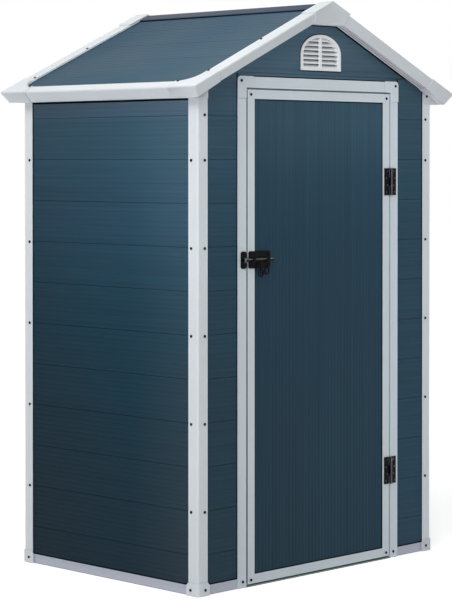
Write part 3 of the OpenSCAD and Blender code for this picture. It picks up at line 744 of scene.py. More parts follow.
@dataclass
class Panels:
    """All ribbed panels: walls, gables, door and roof."""

    paints: Paints
    seam_height: float = 129 * MM
    gable_seam: float = 1660 * MM
    door_pitch: float = 144 * MM
    door_seam: float = -297 * MM
    roof_thickness: float = 12 * MM
    eave_gap: float = 6.5 * MM
    soffit_gap: float = 4 * MM
    ridge_gap: float = 5 * MM

    def under_roof(self) -> list[Place]:
        """The cuts that keep a wall under the roof panels."""
        top = Vector((0, 0, ROOF.height(0, LINES.wall_top)))
        return [(top, ROOF.normal(side)) for side in (-1, 1)]

    def upright(self, name: str, solid: str, out: Vector, cuts: Sequence[Place] = ()) -> RibbedSheet:
        """A wall panel with level planks.

        Args:
            name: Name of the piece.
            solid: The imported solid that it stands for.
            out: Direction that its face looks in.
            cuts: Planes that trim it.

        Returns:
            The sheet, ready to build.
        """
        low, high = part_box(solid)
        along = out.cross(Z)
        size = high - low
        far = [max(low.dot(out), high.dot(out)), min(low.dot(along), high.dot(along))]
        corner = out * far[0] + along * far[1] + Z * low.z
        return RibbedSheet(name, solid, Z, along, corner, size.z, abs(size.dot(along)),
                           self.seam_height - low.z, groove=0.55 * MM, crown=0.5 * MM, seam=2.6 * MM,
                           cuts=list(cuts))

    def gable(self, word: str, out: Vector) -> RibbedSheet:
        """A gable of one tall plank, with its seam just over the door frame.

        Args:
            word: Which gable it is.
            out: Direction that its face looks in.

        Returns:
            The sheet, ready to build.
        """
        sheet = self.upright(f"{word}_gable", f"gable_{word}", out, self.under_roof())
        return replace(sheet, first_seam=self.gable_seam - sheet.corner.z, pitch=2 * sheet.pitch,
                       flutes=2 * sheet.flutes)

    def make(self, sheet: RibbedSheet, paint: bpy.types.Material, slot: Slot = Slot.WALL,
             body: Body = Body.SHED, shape: Callable[[Workpiece], None] | None = None,
             bores: Sequence[Callable[[], Workpiece]] = (), channels: Sequence[Recess] = ()) -> None:
        """Builds one sheet and hands it over.

        Args:
            sheet: The sheet.
            paint: Its material.
            slot: The record's slot.
            body: The body that it moves with.
            shape: Further trimming before it gets its thickness.
            bores: Each makes a solid that is cut out of it.
            channels: Channels beside the trims that hold it.
        """
        piece = sheet.build()
        if shape:
            shape(piece)
        sheet.thicken(piece)
        with piece.editing():
            for recess in channels:
                recess.sink(piece)
        for bore in bores:
            plug = bore()
            piece.modify("BOOLEAN", operation="DIFFERENCE", object=plug.obj, solver="MANIFOLD")
            bpy.data.objects.remove(plug.obj)

        def sunk(at: Vector, out: Vector) -> bool:
            """Whether a face is down in a channel or in the rebate round a vent."""
            return any(line.holds(at) for line in channels) or self.by_vent(at, out)

        # Painted shade: faces down in a channel or in the vent's rebate get near-black paint.
        piece.finish(paint, slot, body, [sheet.solid], 12.0, accents=[(self.paints.gap, sunk)])

    def by_vent(self, at: Vector, out: Vector) -> bool:
        """Whether a face is in the rebate round a vent."""
        near = abs(at.x) < LINES.vent_half and LINES.vent_foot < at.z < LINES.vent_top
        above = abs(at.y) - LINES.rebate_floor
        return near and -0.2 * MM < above < 3.5 * MM and (above < 0.2 * MM or abs(out.y) < 0.3)

    def under_soffits(self, face: Vector) -> list[Recess]:
        """The channels of a gable under the soffits of its boards and of the peak cap."""
        slopes = [channel(face, LINES.end_level, -ROOF.normal(side), -ROOF.level(LINES.board_depth),
                          self.soffit_gap) for side in (-1, 1)]
        return [*slopes, self.end_channel(face, -Z, -LINES.peak_foot)]

    def end_channel(self, face: Vector, across: Vector, edge: float) -> Recess:
        """The channel of an end wall, a gable or the door beside one edge of a trim."""
        return channel(face, LINES.end_level, across, edge)

    def build(self, vent_bore: Callable[[int, bool], Workpiece]) -> None:
        """Builds every panel.

        Args:
            vent_bore: Makes the solid of the vent's hole, or of the rebate round it, in one gable.
        """
        sloped = self.under_roof()
        foot = self.end_channel(-Y, Z, LINES.rail_top)
        for side, word in ((-1, "left"), (1, "right")):
            face = X * side
            lines = [channel(face, LINES.side_level, Z, LINES.rail_top)]
            lines += [channel(face, LINES.side_level, Y * turn, -LINES.post_y) for turn in (-1, 1)]
            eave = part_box(f"eave_trim_{word}")[0].z
            lines.append(channel(face, LINES.side_level, -Z, -eave, self.eave_gap))
            wall = self.upright(f"side_wall_{word}", f"wall_{word}", face)
            self.make(wall, self.paints.walls, channels=lines)
            lines = [foot, self.end_channel(-Y, -face, -LINES.post_x),
                     self.end_channel(-Y, face, LINES.jamb_x)]
            front = self.upright(f"front_wall_{word}", f"wall_front_{word}", -Y, sloped)
            paint = self.paints.ends if side < 0 else self.paints.right_end
            self.make(front, paint, channels=lines)
            by_ridge = channel(ROOF.normal(side), ROOF.level(LINES.roof_top), ROOF.down(side),
                               ROOF.run(LINES.ridge_edge), self.ridge_gap)
            self.make(self.slope(side, word), self.paints.roof, Slot.ROOF, channels=[by_ridge])
        lines = [self.end_channel(Y, Z, LINES.rail_top)]
        lines += [self.end_channel(Y, X * turn, -LINES.post_x) for turn in (-1, 1)]
        self.make(self.upright("back_wall", "wall_back", Y, sloped), self.paints.ends, channels=lines)
        over_header = self.end_channel(-Y, Z, LINES.header_top)
        for word, end, shape, lines in (("back", 1, None, []), ("front", -1, self.tongue, [over_header])):
            self.make(self.gable(word, Y * end), self.paints.gables, shape=shape,
                      bores=[lambda: vent_bore(end, False), lambda: vent_bore(end, True)],
                      channels=lines + self.under_soffits(Y * end))
        lines = [self.end_channel(-Y, X * turn, -LINES.stile_inner) for turn in (-1, 1)]
        lines += [self.end_channel(-Y, Z, LINES.low_rail_top), self.end_channel(-Y, -Z, -LINES.rail_feet[1])]
        self.make(self.door(), self.paints.door, body=Body.DOOR, channels=lines)

    def tongue(self, piece: Workpiece) -> None:
        """Narrows the foot of the front gable to the strip that stands in the header's slot."""
        joint, step, shoulder, slot = 1657 * MM, 1646.8 * MM, 377 * MM, 355.9 * MM

        def beside(face: bmesh.types.BMFace, top: float, half: float) -> bool:
            """Whether a face lies below a level and farther out than a half width."""
            middle = face.calc_center_median()
            return middle.z < top and abs(middle.x) > half

        with piece.editing():
            for height in (joint, step):
                piece.cut(Z * height, Z)
            for side in (-1, 1):
                piece.cut(X * side * shoulder, X)
                piece.cut(X * side * slot, X)
            piece.remove(lambda f: beside(f, joint, shoulder))
            piece.remove(lambda f: beside(f, step, slot))

    def door(self) -> RibbedSheet:
        """The door panel, with upright planks."""
        low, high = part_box("door_panel")
        return RibbedSheet("door_leaf_panel", "door_panel", X, Z, low.copy(), high.x - low.x, high.z - low.z,
                           self.door_seam - low.x, pitch=self.door_pitch, seam=1.5 * MM)

    def slope(self, side: int, word: str) -> RibbedSheet:
        """One roof panel, with planks along the ridge."""
        low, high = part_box(f"roof_panel_{word}")
        spread = LINES.roof_x / math.cos(ROOF.pitch) - LINES.roof_inset
        apex = Vector((0, low.y if side > 0 else high.y, ROOF.apex))
        top = apex - ROOF.normal(side) * LINES.roof_top
        start, down = 0.9 * LINES.roof_top, ROOF.down(side)
        return RibbedSheet(f"roof_slope_{word}", f"roof_panel_{word}", down, Y * side, top + down * start,
                           spread - start, high.y - low.y, 0.1 * self.seam_height,
                           thickness=self.roof_thickness, groove=0.3 * MM, crown=0.2 * MM, seam=0.9 * MM,
                           cuts=[(Vector((side * 0.15 * MM, 0, 0)), X * -side)])


# ---- Trims ----


@dataclass
class Trims:
    """The white extruded and moulded trims, and the dark threshold."""

    paints: Paints
    edge: float = 0.9 * MM
    margin: float = 5 * MM
    roof_edge: float = 7 * MM
    cap_edge: float = 5 * MM
    joint: float = 2.2 * MM
    stile_corner: float = 5 * MM
    jamb_corner: float = 12 * MM
    face_lean: float = 15 * MM
    rail_lean: float = 7 * MM
    cap_arm: float = 124 * MM
    cap_proud: float = 1.5 * MM
    peak_arm: float = 96 * MM
    peak_proud: float = 3 * MM
    soffit_lines: tuple[float, float] = (436 * MM, 448 * MM)
    vent_border: float = 11 * MM

    def outer(self, side: int, edge: float, width: float) -> float:
        """Low end of a band of some width that ends at an outer edge, on one side of the middle."""
        return edge - width if side > 0 else -edge

    def band(self, solid: str, face: Vector, across: Vector, lows: Sequence[float],
             width: float) -> list[Recess]:
        """Recesses of a trim, one for each arm that starts at one of the given places."""
        low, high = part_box(solid)
        level = max(low.dot(face), high.dot(face))
        return [Recess(face, level, across, start + self.margin, start + width - self.margin)
                for start in lows]

    def trim(self, name: str, solid: str, body: Body = Body.SHED, recesses: Sequence[Recess] = (),
             edge: float | None = None, shape: Callable[[Workpiece], None] | None = None,
             paint: bpy.types.Material | None = None, accents: Sequence[Accent] = ()) -> None:
        """Dresses one trim.

        Args:
            name: Name of the piece.
            solid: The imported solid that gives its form.
            body: The body that it moves with.
            recesses: Sunken bands of its faces.
            edge: Width of its rounded edges.
            shape: Further shaping, inside an edit.
            paint: Its finish, where it isn't the plain white.
            accents: Further finishes of some of its faces.
        """
        piece = Workpiece.from_solid(solid, name)
        with piece.editing():
            for recess in recesses:
                recess.sink(piece)
            if shape:
                shape(piece)
        piece.soften(self.edge if edge is None else edge)
        piece.finish(paint or self.paints.trim, Slot.TRIM, body, [solid], flat=True, accents=accents)

    def build(self) -> None:
        """Builds every trim."""
        # Painted light: faces that look down get the paler soffit white, as if lit from below.
        soffit = (self.paints.soffit, lambda _, out: out.z < -0.8)
        # Painted highlight: the low step of the roof trims gets the brighter vent white.
        ledge = (self.paints.vent, self.on_ledge)
        for side, word in ((-1, "left"), (1, "right")):
            self.door_frame(side, word)
            for end, row in ((-1, "front"), (1, "back")):
                solid, width = f"post_{row}_{word}", LINES.post_width
                bands = self.band(solid, Y * end, X, [self.outer(side, LINES.rail_x, width)], width)
                bands += self.band(solid, X * side, Y, [self.outer(end, LINES.rail_y, width)], width)
                self.trim(f"corner_post_{row}_{word}", solid, recesses=bands, paint=self.paints.post)
            lines = [self.soffit_line(side, end, y) for end in (-1, 1) for y in self.soffit_lines]
            self.trim(f"gable_boards_{word}", f"rake_trims_{word}", edge=1.2 * MM, recesses=lines,
                      shape=self.round_roof_edge, accents=[soffit, ledge, self.painted_groove_shade(lines)])
            self.trim(f"eave_board_{word}", f"eave_trim_{word}", edge=1.2 * MM, shape=self.round_roof_edge)
        lines = self.band("header", -Y, Z, [LINES.header_foot], LINES.header_width)
        lines += [self.joint_line(X * side, -LINES.header_joint) for side in (-1, 1)]
        self.trim("header_cover", "header", recesses=lines, paint=self.paints.frame)
        self.trim("header_corners", "header_caps", paint=self.paints.frame)
        self.corner_caps([soffit, ledge])
        bands = self.band("door_rails", -Y, Z, LINES.rail_feet, LINES.rail_width)
        self.trim("door_rail_covers", "door_rails", Body.DOOR, recesses=bands, paint=self.paints.frame)
        for row in ("front", "back"):
            self.trim(f"roof_peak_{row}", f"peak_cap_{row}", edge=1.6 * MM, shape=self.round_peak,
                      accents=[soffit])
            self.trim(f"foot_caps_{row}", f"base_caps_{row}", edge=1.4 * MM)
            self.trim(f"gable_vent_{row}", f"vent_{row}", edge=0.5 * MM, paint=self.paints.vent)
        for place in ("rails_front", "rails_side", "rail_back"):
            self.trim(f"sole_{place}", f"base_{place}", shape=self.lean, paint=self.paints.rail)
        for name, solid, edge, paint, slot in (
                ("ridge_cover", "ridge_strip", 1.0 * MM, self.paints.ridge, Slot.ROOF),
                ("threshold", "door_sill", 0.8 * MM, self.paints.sill, Slot.SILL)):
            piece = Workpiece.from_solid(solid, name)
            piece.soften(edge)
            piece.finish(paint, slot, Body.SHED, [solid])

    def door_frame(self, side: int, word: str) -> None:
        """Builds the jamb and the door's stile on one side.

        Args:
            side: -1 for the left, 1 for the right.
            word: The side as a word.
        """
        jamb, stile = f"jamb_{word}", f"door_stile_{word}"
        edge = self.outer(side, LINES.jamb_x, LINES.jamb_width)
        lines = self.band(jamb, -Y, X, [edge], LINES.jamb_width)
        lines.append(self.joint_line(-Z, -LINES.jamb_joint))
        self.trim(f"jamb_cover_{word}", jamb, paint=self.paints.frame, shape=self.round_jamb, recesses=lines)

        def on_flank(at: Vector, out: Vector) -> bool:
            """Whether a face is on the outer flank of the stile."""
            return abs(at.x) > LINES.stile_x - 1.4 * MM and abs(out.x) > 0.9

        edge = self.outer(side, LINES.stile_x, LINES.stile_width)
        bands = self.band(stile, -Y, X, [edge], LINES.stile_width)
        # The stile's outer flank gets the door_seam finish: painted shade for the gap beside the door.
        self.trim(f"stile_{word}", stile, Body.DOOR, recesses=bands, shape=self.round_stile,
                  paint=self.paints.frame, accents=[(self.paints.door_seam, on_flank)])

    def corner_caps(self, accents: Sequence[Accent]) -> None:
        """Shapes one roof corner cap and makes the other three, with its accents, as mirror images."""
        first = Workpiece.from_solid("corner_cap_front_left", "roof_corner_front_left")
        with first.editing():
            self.round_cap(first)
        first.soften(1.6 * MM)
        caps = {"front_left": first}
        for side, end, place in ((1, -1, "front_right"), (-1, 1, "back_left"), (1, 1, "back_right")):
            cap = first.twin(f"roof_corner_{place}", Matrix.Diagonal((-side, -end, 1, 1)))
            with cap.editing():
                bpy.ops.mesh.normals_make_consistent(inside=False)
            caps[place] = cap
        for place, cap in caps.items():
            cap.finish(self.paints.trim, Slot.TRIM, Body.SHED, [f"corner_cap_{place}"], flat=True,
                       accents=accents)

    def round_roof_edge(self, piece: Workpiece) -> None:
        """Rounds the outer top edge of a roof trim, inside an edit."""
        piece.round_edges(self.roof_edge, self.is_border)

    def round_cap(self, piece: Workpiece) -> None:
        """Rounds a corner cap's outer top edges and upright corner and opens its joint, inside an edit."""
        piece.round_edges(self.cap_edge, lambda e: self.is_border(e) or self.is_corner(e))
        self.open_joint(piece, LINES.roof_x / math.cos(ROOF.pitch) - self.cap_arm, self.cap_proud)

    def round_peak(self, piece: Workpiece) -> None:
        """Rounds a peak cap's outer top edges and opens its joints, inside an edit."""
        self.round_roof_edge(piece)
        self.open_joint(piece, self.peak_arm, self.peak_proud)

    def open_joint(self, piece: Workpiece, end: float, proud: float) -> None:
        """Chamfers the outer border of a cap's gable arm where it meets the boards, inside an edit.

        Args:
            piece: The cap.
            end: Distance of the joint from the ridge, down the slope.
            proud: How far the cap stands out from the boards.
        """
        lean = self.face_lean / (LINES.board_depth + proud / 4)
        foot = LINES.roof_y + proud + self.face_lean

        def on_border(at: Vector) -> bool:
            """Whether a point is on the top or the outer face, right at the joint."""
            side = 1 if at.x > 0 else -1
            from_apex = at - Z * ROOF.apex
            if abs(from_apex.dot(ROOF.down(side)) - end) > 0.1 * MM:
                return False
            up = from_apex.dot(ROOF.normal(side))
            face = foot - (LINES.board_depth + proud - up) * lean
            return up > proud - 0.3 * MM or face - abs(at.y) < 0.5 * MM

        piece.pick(Kind.EDGE, lambda e: all(on_border(v.co) for v in e.verts))
        bpy.ops.mesh.bevel(offset=self.joint, segments=1)

    def round_stile(self, piece: Workpiece) -> None:
        """Rounds the corners of the door leaf, inside an edit."""
        ends = (LINES.rail_feet[0], LINES.rail_feet[1] + LINES.rail_width)

        def on_corner(edge: bmesh.types.BMEdge) -> bool:
            """Whether an edge is an outer corner of the stile, at its foot or its top."""
            outer = all(abs(v.co.x) > LINES.stile_x - 0.1 * MM for v in edge.verts)
            return outer and any(all(abs(v.co.z - end) < HAIR for v in edge.verts) for end in ends)

        piece.round_edges(self.stile_corner, on_corner)

    def joint_line(self, across: Vector, edge: float) -> Recess:
        """The thin line that a cover plate leaves beside its edge, on the front of the door frame."""
        return Recess(-Y, LINES.rail_y, across, edge - 1 * MM, edge + 1.8 * MM, depth=1.8 * MM,
                      ramp=0.3 * MM, reach=1.2 * MM)

    def round_jamb(self, piece: Workpiece) -> None:
        """Rounds the outer top corner of a jamb under its cover plate, inside an edit."""
        edge_x, top = LINES.jamb_x - 0.2 * MM, LINES.header_top - 0.1 * MM
        piece.round_edges(self.jamb_corner, lambda e: all(
            abs(v.co.x) > edge_x and v.co.z > top for v in e.verts))

    def soffit_line(self, side: int, end: int, distance: float) -> Recess:
        """A thin groove along the soffit of a gable board, at a distance from the middle of the shed."""
        level = -ROOF.level(LINES.board_depth)
        return Recess(-ROOF.normal(side), level, Y * end, distance, distance + 2.2 * MM, depth=1.6 * MM,
                      ramp=0.4 * MM)

    def painted_groove_shade(self, lines: Sequence[Recess]) -> Accent:
        """The painted shade, near black, on the bottom of some lines."""
        return self.paints.gap, lambda at, _: any(line.holds(at) for line in lines)

    def on_roof_edge(self, at: Vector) -> bool:
        """Whether a point is on the outer border of the roof's top faces."""
        proud = (at.z - ROOF.height(at.x, 0)) * math.cos(ROOF.pitch)
        out = abs(at.y) > LINES.roof_y - 0.5 * MM or abs(at.x) > LINES.roof_x - 0.5 * MM
        return out and -0.3 * MM < proud < 2.2 * MM

    def is_border(self, edge: bmesh.types.BMEdge) -> bool:
        """Whether an edge runs along the outer border of the roof's top faces."""
        return all(self.on_roof_edge(v.co) for v in edge.verts)

    def on_ledge(self, at: Vector, out: Vector) -> bool:
        """Whether a face is on the low step of a roof trim down to the roof panels."""
        up = (at.z - ROOF.height(at.x, 0)) * math.cos(ROOF.pitch)
        steep = abs(out.dot(ROOF.normal(1 if at.x > 0 else -1))) < 0.5
        return steep and up > -7.5 * MM and abs(at.y) < LINES.ledge_y and abs(at.x) < LINES.ledge_x

    def is_corner(self, edge: bmesh.types.BMEdge) -> bool:
        """Whether an edge is the upright outer corner between an eave face and a gable face."""
        top, foot = sorted((v.co for v in edge.verts), key=lambda co: -co.z)
        outermost = abs(top.y) > LINES.roof_y - 1 * MM and abs(top.x) > LINES.roof_x - 1 * MM
        return self.on_roof_edge(top) and outermost and foot.z < LINES.eave_foot

    def lean(self, piece: Workpiece) -> None:
        """Draws the foot of a sole rail's outer face inwards, inside an edit."""
        for face, level in ((X, LINES.rail_x), (-X, LINES.rail_x), (Y, LINES.rail_y), (-Y, LINES.rail_y)):
            piece.pick(Kind.VERT, lambda v: v.co.z < HAIR and abs(v.co.dot(face) - level) < 10 * HAIR)
            bpy.ops.transform.translate(value=face * -self.rail_lean)

    def vent_bore(self, end: int, rebate: bool) -> Workpiece:
        """The solid of the arched hole behind a vent, or of the shallow rebate round its flange.

        Args:
            end: -1 for the front gable, 1 for the back one.
            rebate: Whether it is the rebate.

        Returns:
            An arch that runs through the gable, or a little way into its face.
        """
        border = self.vent_border if rebate else 0.0
        half, rise, spring, foot = 90 * MM + border, 58 * MM + border, 1729 * MM, 1683 * MM - border
        middle, depth = (424 * MM, 12 * MM) if rebate else (414 * MM, 60 * MM)
        piece = Workpiece.start("vent_plug", bpy.ops.mesh.primitive_cylinder_add, vertices=48, radius=half,
                                depth=depth, location=(0, end * middle, spring),
                                rotation=(math.radians(90), 0, 0))
        with piece.editing():
            bpy.ops.transform.resize(value=(1, 1, rise / half), center_override=(0, 0, spring))
            piece.pick(Kind.VERT, lambda v: v.co.z < spring - HAIR)
            bpy.ops.transform.resize(value=(1, 1, 0), center_override=(0, 0, foot))
        return piece


# ---- Fastenings ----


@dataclass
class Screws:
    """Small black domed screws with a driver recess."""

    paints: Paints
    radius: float = 4.6 * MM
    height: float = 1.8 * MM
    dome: tuple[tuple[float, float], ...] = ((1.2 * MM, 0.55 * MM), (1.0 * MM, 0.15 * MM))
    recess: float = 1.1 * MM
    first: Workpiece | None = None

    def screw(self) -> Workpiece:
        """One screw standing on the ground, head up."""
        if self.first is None:
            piece = Workpiece.start("screw_pattern", bpy.ops.mesh.primitive_cylinder_add, vertices=14,
                                    radius=self.radius, depth=self.height, location=(0, 0, self.height / 2))
            with piece.editing():
                top = self.height - HAIR
                piece.pick(Kind.FACE, lambda f: f.calc_center_median().z > top)
                for inset, rise in self.dome:
                    bpy.ops.mesh.inset(thickness=inset)
                    bpy.ops.transform.translate(value=(0, 0, rise))
                bpy.ops.mesh.extrude_region_move(TRANSFORM_OT_translate={"value": (0, 0, -self.recess)})
                bpy.ops.transform.resize(value=(0.45, 0.45, 1))
            self.first = piece
        return self.first

    def drive(self, name: str, places: Iterable[Place], body: Body = Body.SHED,
              paint: bpy.types.Material | None = None, size: float = 1.0) -> None:
        """Drives a set of screws that move together.

        Args:
            name: Name of the set.
            places: Point and outward direction of each.
            body: The body that they move with.
            paint: Their finish, where it isn't black.
            size: Their size, as a share of the common screw's.
        """
        pattern = self.screw()
        made = []
        for at, out in places:
            turn = out.to_track_quat("Z", "Y").to_matrix().to_4x4() @ Matrix.Scale(size, 4)
            made.append(pattern.twin(f"{name}_{len(made)}", Matrix.Translation(at) @ turn))
        first, *rest = made
        first.join(rest)
        first.obj.name = first.obj.data.name = name
        first.finish(paint or self.paints.steel, Slot.STEEL, body, angle=50.0)

    def build(self) -> None:
        """Drives all screws of the shed."""
        self.drive("post_screws", self.post_places())
        self.drive("foot_screws", self.foot_places())
        self.drive("frame_screws", self.frame_places())
        self.drive("roof_screws", self.roof_places())
        door = [(point(side * 335, -425, z), -Y) for side in (-1, 1) for z in (22, 1589)]
        self.drive("door_screws", door, Body.DOOR)
        bpy.data.objects.remove(self.screw().obj)

    def post_places(self) -> Iterator[Place]:
        """Places down both faces of each post."""
        for sx, sy in CORNERS:
            for z in (266, 544, 822, 1099, 1377):
                yield point(sx * 545, sy * 425, z), Y * sy
                yield point(sx * 575, sy * 395, z), X * sx
            yield point(sx * 545, sy * 425, 1520), Y * sy

    def foot_places(self) -> Iterator[Place]:
        """Places on both faces of each foot cap."""
        for sx, sy in CORNERS:
            yield point(sx * 546, sy * 429, 20), Y * sy
            yield point(sx * 579, sy * 396, 20), X * sx

    def frame_places(self) -> Iterator[Place]:
        """Places on the header's corners and at the feet of the jambs."""
        for sx in (-1, 1):
            yield point(sx * 381, -427, 1633), -Y
            yield point(sx * 373, -425, 21), -Y

    def roof_places(self) -> Iterator[Place]:
        """Places on the roof's corners, on their gussets and halfway up its gable trims."""
        for sx, sy in CORNERS:
            out = ROOF.normal(sx)
            yield point(sx * 549, sy * 428, 1601), Y * sy
            for x, y, proud in ((600, 362, 1.5), (526, 424, 1.5), (287, 424, 0)):
                place = Vector((sx * x * MM, sy * y * MM, ROOF.height(x * MM, 0)))
                yield place + out * proud * MM, out


@dataclass
class Ironmongery:
    """The black hinges and the barrel bolt, with their screws."""

    paints: Paints
    screws: Screws
    hinge_heights: tuple[float, float] = (306, 1303)
    hinge_holes: tuple[tuple[float, float], ...] = ((-36, 22), (-12, 16), (12, 22), (36, 16))
    hinge_x: float = 353.7
    leaf_y: float = -427.7
    bolt_z: float = 1056.0
    rod_y: float = -436.0

    def steel(self, name: str, solid: str, body: Body, edge: float, extras: Sequence[Workpiece] = (),
              rubbed: Covers | None = None) -> None:
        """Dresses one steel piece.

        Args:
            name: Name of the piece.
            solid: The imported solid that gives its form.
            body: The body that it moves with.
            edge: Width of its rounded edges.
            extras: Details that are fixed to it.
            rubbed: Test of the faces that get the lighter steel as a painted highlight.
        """
        piece = Workpiece.from_solid(solid, name)
        piece.soften(edge)
        if extras:
            piece.join(extras)
        # Painted highlight: the faces that pass the test get the lighter, glossier steel.
        accents = [(self.paints.painted_highlight, rubbed)] if rubbed else []
        piece.finish(self.paints.steel, Slot.STEEL, body, [solid], 40.0, flat=True, accents=accents)

    def ring(self, name: str, at: Vector, radius: float, wire: float) -> Workpiece:
        """A hanging eye, facing the front.

        Args:
            name: Name of the eye.
            at: Its middle.
            radius: Radius of the middle of the wire.
            wire: Radius of the wire.

        Returns:
            The eye.
        """
        piece = Workpiece.start(name, bpy.ops.mesh.primitive_torus_add, major_segments=28, minor_segments=10,
                                major_radius=radius, minor_radius=wire, location=at,
                                rotation=(math.radians(90), 0, 0))
        with piece.editing():
            bpy.ops.transform.resize(value=(1, 1, 1.15), center_override=at)
        return piece

    def on_barrel(self, at: Vector, out: Vector) -> bool:
        """Whether a face is on the front of a hinge barrel, where a highlight is painted."""
        return at.y < -430.5 * MM and abs(at.x - self.hinge_x * MM) < 3.5 * MM and out.y < -0.6

    def on_rod(self, at: Vector, out: Vector) -> bool:
        """Whether a face is on the upper front of the bolt rod, where a highlight is painted."""
        near = abs(at.z - self.bolt_z * MM) < 5.2 * MM and abs(at.y - self.rod_y * MM) < 8 * MM
        return near and out.y < -0.1 and out.z > 0.25

    def on_keeper(self, at: Vector, out: Vector) -> bool:
        """Whether a face is on the crown of the keeper, where a highlight is painted."""
        return abs(at.z - self.bolt_z * MM) < 9 * MM and at.y < -437 * MM and out.y < -0.5

    def build(self) -> None:
        """Builds the hinges and the bolt."""
        self.steel("hinge_leaves_frame", "hinge_frame_leaves", Body.SHED, 0.6 * MM, rubbed=self.on_barrel)
        self.steel("hinge_leaves_door", "hinge_door_leaves", Body.DOOR, 0.6 * MM, rubbed=self.on_barrel)
        self.steel("bolt_keeper_strap", "bolt_keeper", Body.SHED, 0.7 * MM, rubbed=self.on_keeper)
        self.steel("bolt_guide_plate", "bolt_plate", Body.DOOR, 0.7 * MM,
                   [self.ring("plate_eye", point(-266, -429.5, 1019), 9.5 * MM, 2.1 * MM)])
        self.steel("bolt_rod_handle", "bolt_rod", Body.BOLT, 0.9 * MM,
                   [self.ring("handle_eye", point(-300, self.rod_y, 1014), 10.5 * MM, 2.3 * MM)], self.on_rod)
        frame_side, door_side = [], []
        for middle in self.hinge_heights:
            for z, out in self.hinge_holes:
                frame_side.append((point(self.hinge_x + out, self.leaf_y, middle + z), -Y))
                door_side.append((point(self.hinge_x - out, self.leaf_y, middle + z), -Y))
        keeper = [(point(-371, self.leaf_y, self.bolt_z + z), -Y) for z in (-20, 20)]
        plate = [(point(x, self.leaf_y, self.bolt_z + z), -Y) for x in (-337, -258) for z in (-19, 19)]
        # The hinge screws get the lighter steel as painted highlights.
        self.screws.drive("hinge_screws_frame", frame_side, Body.SHED, self.paints.painted_highlight, 0.6)
        self.screws.drive("hinge_screws_door", door_side, Body.DOOR, self.paints.painted_highlight, 0.6)
        self.screws.drive("keeper_screws", keeper)
        self.screws.drive("bolt_plate_screws", plate, Body.DOOR)


# ---- Studio ----


def seen_directly(tree: bpy.types.NodeTree) -> bpy.types.NodeSocket:
    """One where a ray comes from the camera, from a mirror or through glass.

    Args:
        tree: The nodes of a material or of the world.

    Returns:
        The socket that gives it.
    """
    rays = tree.nodes.new("ShaderNodeLightPath").outputs
    seen = rays["Is Camera Ray"]
    for name in ("Is Glossy Ray", "Is Transmission Ray"):
        both = tree.nodes.new("ShaderNodeMath")
        both.operation = "MAXIMUM"
        tree.links.new(seen, both.inputs[0])
        tree.links.new(rays[name], both.inputs[1])
        seen = both.outputs[0]
    return seen


def set_up(name: str, data: bpy.types.ID, at: Sequence[float], turn: Sequence[float]) -> bpy.types.Object:
    """Adds a lamp or a camera to the scene at a place, turned by angles in radians."""
    obj = bpy.data.objects.new(name, data)
    obj.location, obj.rotation_euler = at, turn
    bpy.context.scene.collection.objects.link(obj)
    return obj


@dataclass(frozen=True)
class Lamp:
    """A soft rectangular lamp."""

    name: str
    at: tuple[float, float, float]
    aim: tuple[float, float, float]
    size: float
    power: float
    colour: Colour = (1.0, 1.0, 1.0)

    def hang(self) -> None:
        """Adds the lamp to the scene."""
        data = bpy.data.lights.new(self.name, "AREA")
        data.shape, data.size, data.energy, data.color = "SQUARE", self.size, self.power, self.colour
        gaze = Vector(self.aim) - Vector(self.at)
        set_up(self.name, data, self.at, gaze.to_track_quat("-Z", "Y").to_euler())


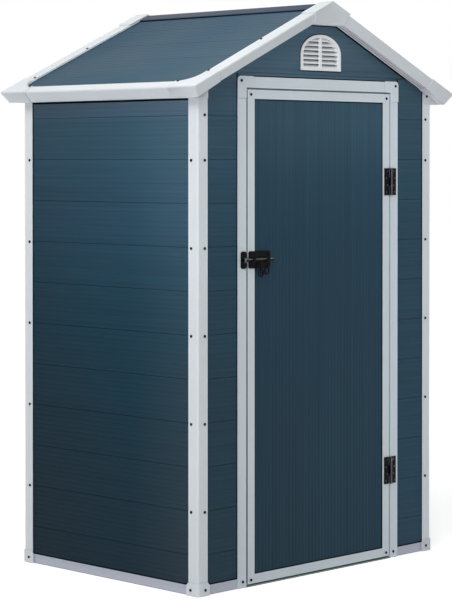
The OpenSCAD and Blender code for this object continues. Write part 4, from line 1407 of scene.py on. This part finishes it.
@dataclass
class Studio:
    """The pale floor, the white surround, the lamps and the camera."""

    white: float = 1.0
    ambient: float = 0.22
    floor_glow: tuple[float, float] = (0.58, 0.76)
    glow_reach: tuple[float, float] = (1.5, 4.0)
    camera_at: tuple[float, float, float] = (-5.204, -5.143, 1.3785)
    camera_turn: tuple[float, float, float] = (89.3, 0.0, -45.22)
    lens: float = 126.3
    shift_y: float = -0.1908
    lamps: tuple[Lamp, ...] = (
        Lamp("key_lamp", (-4.6, -3.0, 5.2), (0, 0, 1.2), 3.5, 193),
        Lamp("top_lamp", (-2.6, -1.8, 6.5), (0, 0, 1.2), 3.5, 20),
        Lamp("side_lamp", (-5.0, 0.5, 4.8), (0, 0, 1.3), 3.0, 58),
        Lamp("low_lamp", (-4.5, -4.0, 0.9), (0, 0, 0.8), 2.0, 37),
        Lamp("fill_lamp", (4.0, -5.5, 2.5), (0, 0, 1.0), 3.5, 25),
        Lamp("back_lamp", (1.0, 3.0, 5.5), (0, 0, 1.5), 3.0, 50),
    )

    def floor(self) -> None:
        """A wide pale floor that keeps the shed's shadow and looks white far away."""
        piece = Workpiece.start("studio_floor", bpy.ops.mesh.primitive_plane_add, size=60)
        shader = Shader("studio_floor")
        shader.surfaced((0.9, 0.9, 0.9, 1), 0.9, 0.5)
        shader.wire((1, 1, 1, 1), shader.surface.inputs["Emission Color"])
        away = shader.node("VectorMath", {0: shader.where}, operation="LENGTH").outputs["Value"]
        glow = shader.spread(away, *self.floor_glow, *self.glow_reach)
        glow = shader.times(seen_directly(shader.tree), glow)
        shader.wire(glow, shader.surface.inputs["Emission Strength"])
        piece.obj.data.materials.append(shader.material)

    def surround(self) -> None:
        """A white surround that lights the shed at a plain level."""
        world = bpy.data.worlds.new("studio")
        bpy.context.scene.world = world
        world.use_nodes = True
        nodes, links = world.node_tree.nodes, world.node_tree.links
        background, level = nodes["Background"], nodes.new("ShaderNodeMapRange")
        level.inputs["To Min"].default_value = self.ambient
        level.inputs["To Max"].default_value = self.white
        links.new(seen_directly(world.node_tree), level.inputs["Value"])
        background.inputs["Color"].default_value = (1, 1, 1, 1)
        links.new(level.outputs["Result"], background.inputs["Strength"])

    def camera(self) -> None:
        """The camera at the front left, at chest height."""
        data = bpy.data.cameras.new("studio_camera")
        data.lens, data.sensor_width, data.shift_y = self.lens, 36, self.shift_y
        turn = [math.radians(angle) for angle in self.camera_turn]
        bpy.context.scene.camera = set_up("studio_camera", data, self.camera_at, turn)

    def build(self) -> None:
        """Sets up the studio."""
        self.camera()
        self.floor()
        self.surround()
        for lamp in self.lamps:
            lamp.hang()
        bpy.context.scene.view_settings.view_transform = "Standard"


def main() -> None:
    """Builds the studio and every sub-assembly in order."""
    logging.basicConfig(level=logging.INFO, format="%(message)s")
    Studio().build()
    paints = Paints()
    trims = Trims(paints)
    Panels(paints).build(trims.vent_bore)
    trims.build()
    screws = Screws(paints)
    Ironmongery(paints, screws).build()
    screws.build()


if __name__ == "__main__":
    main()
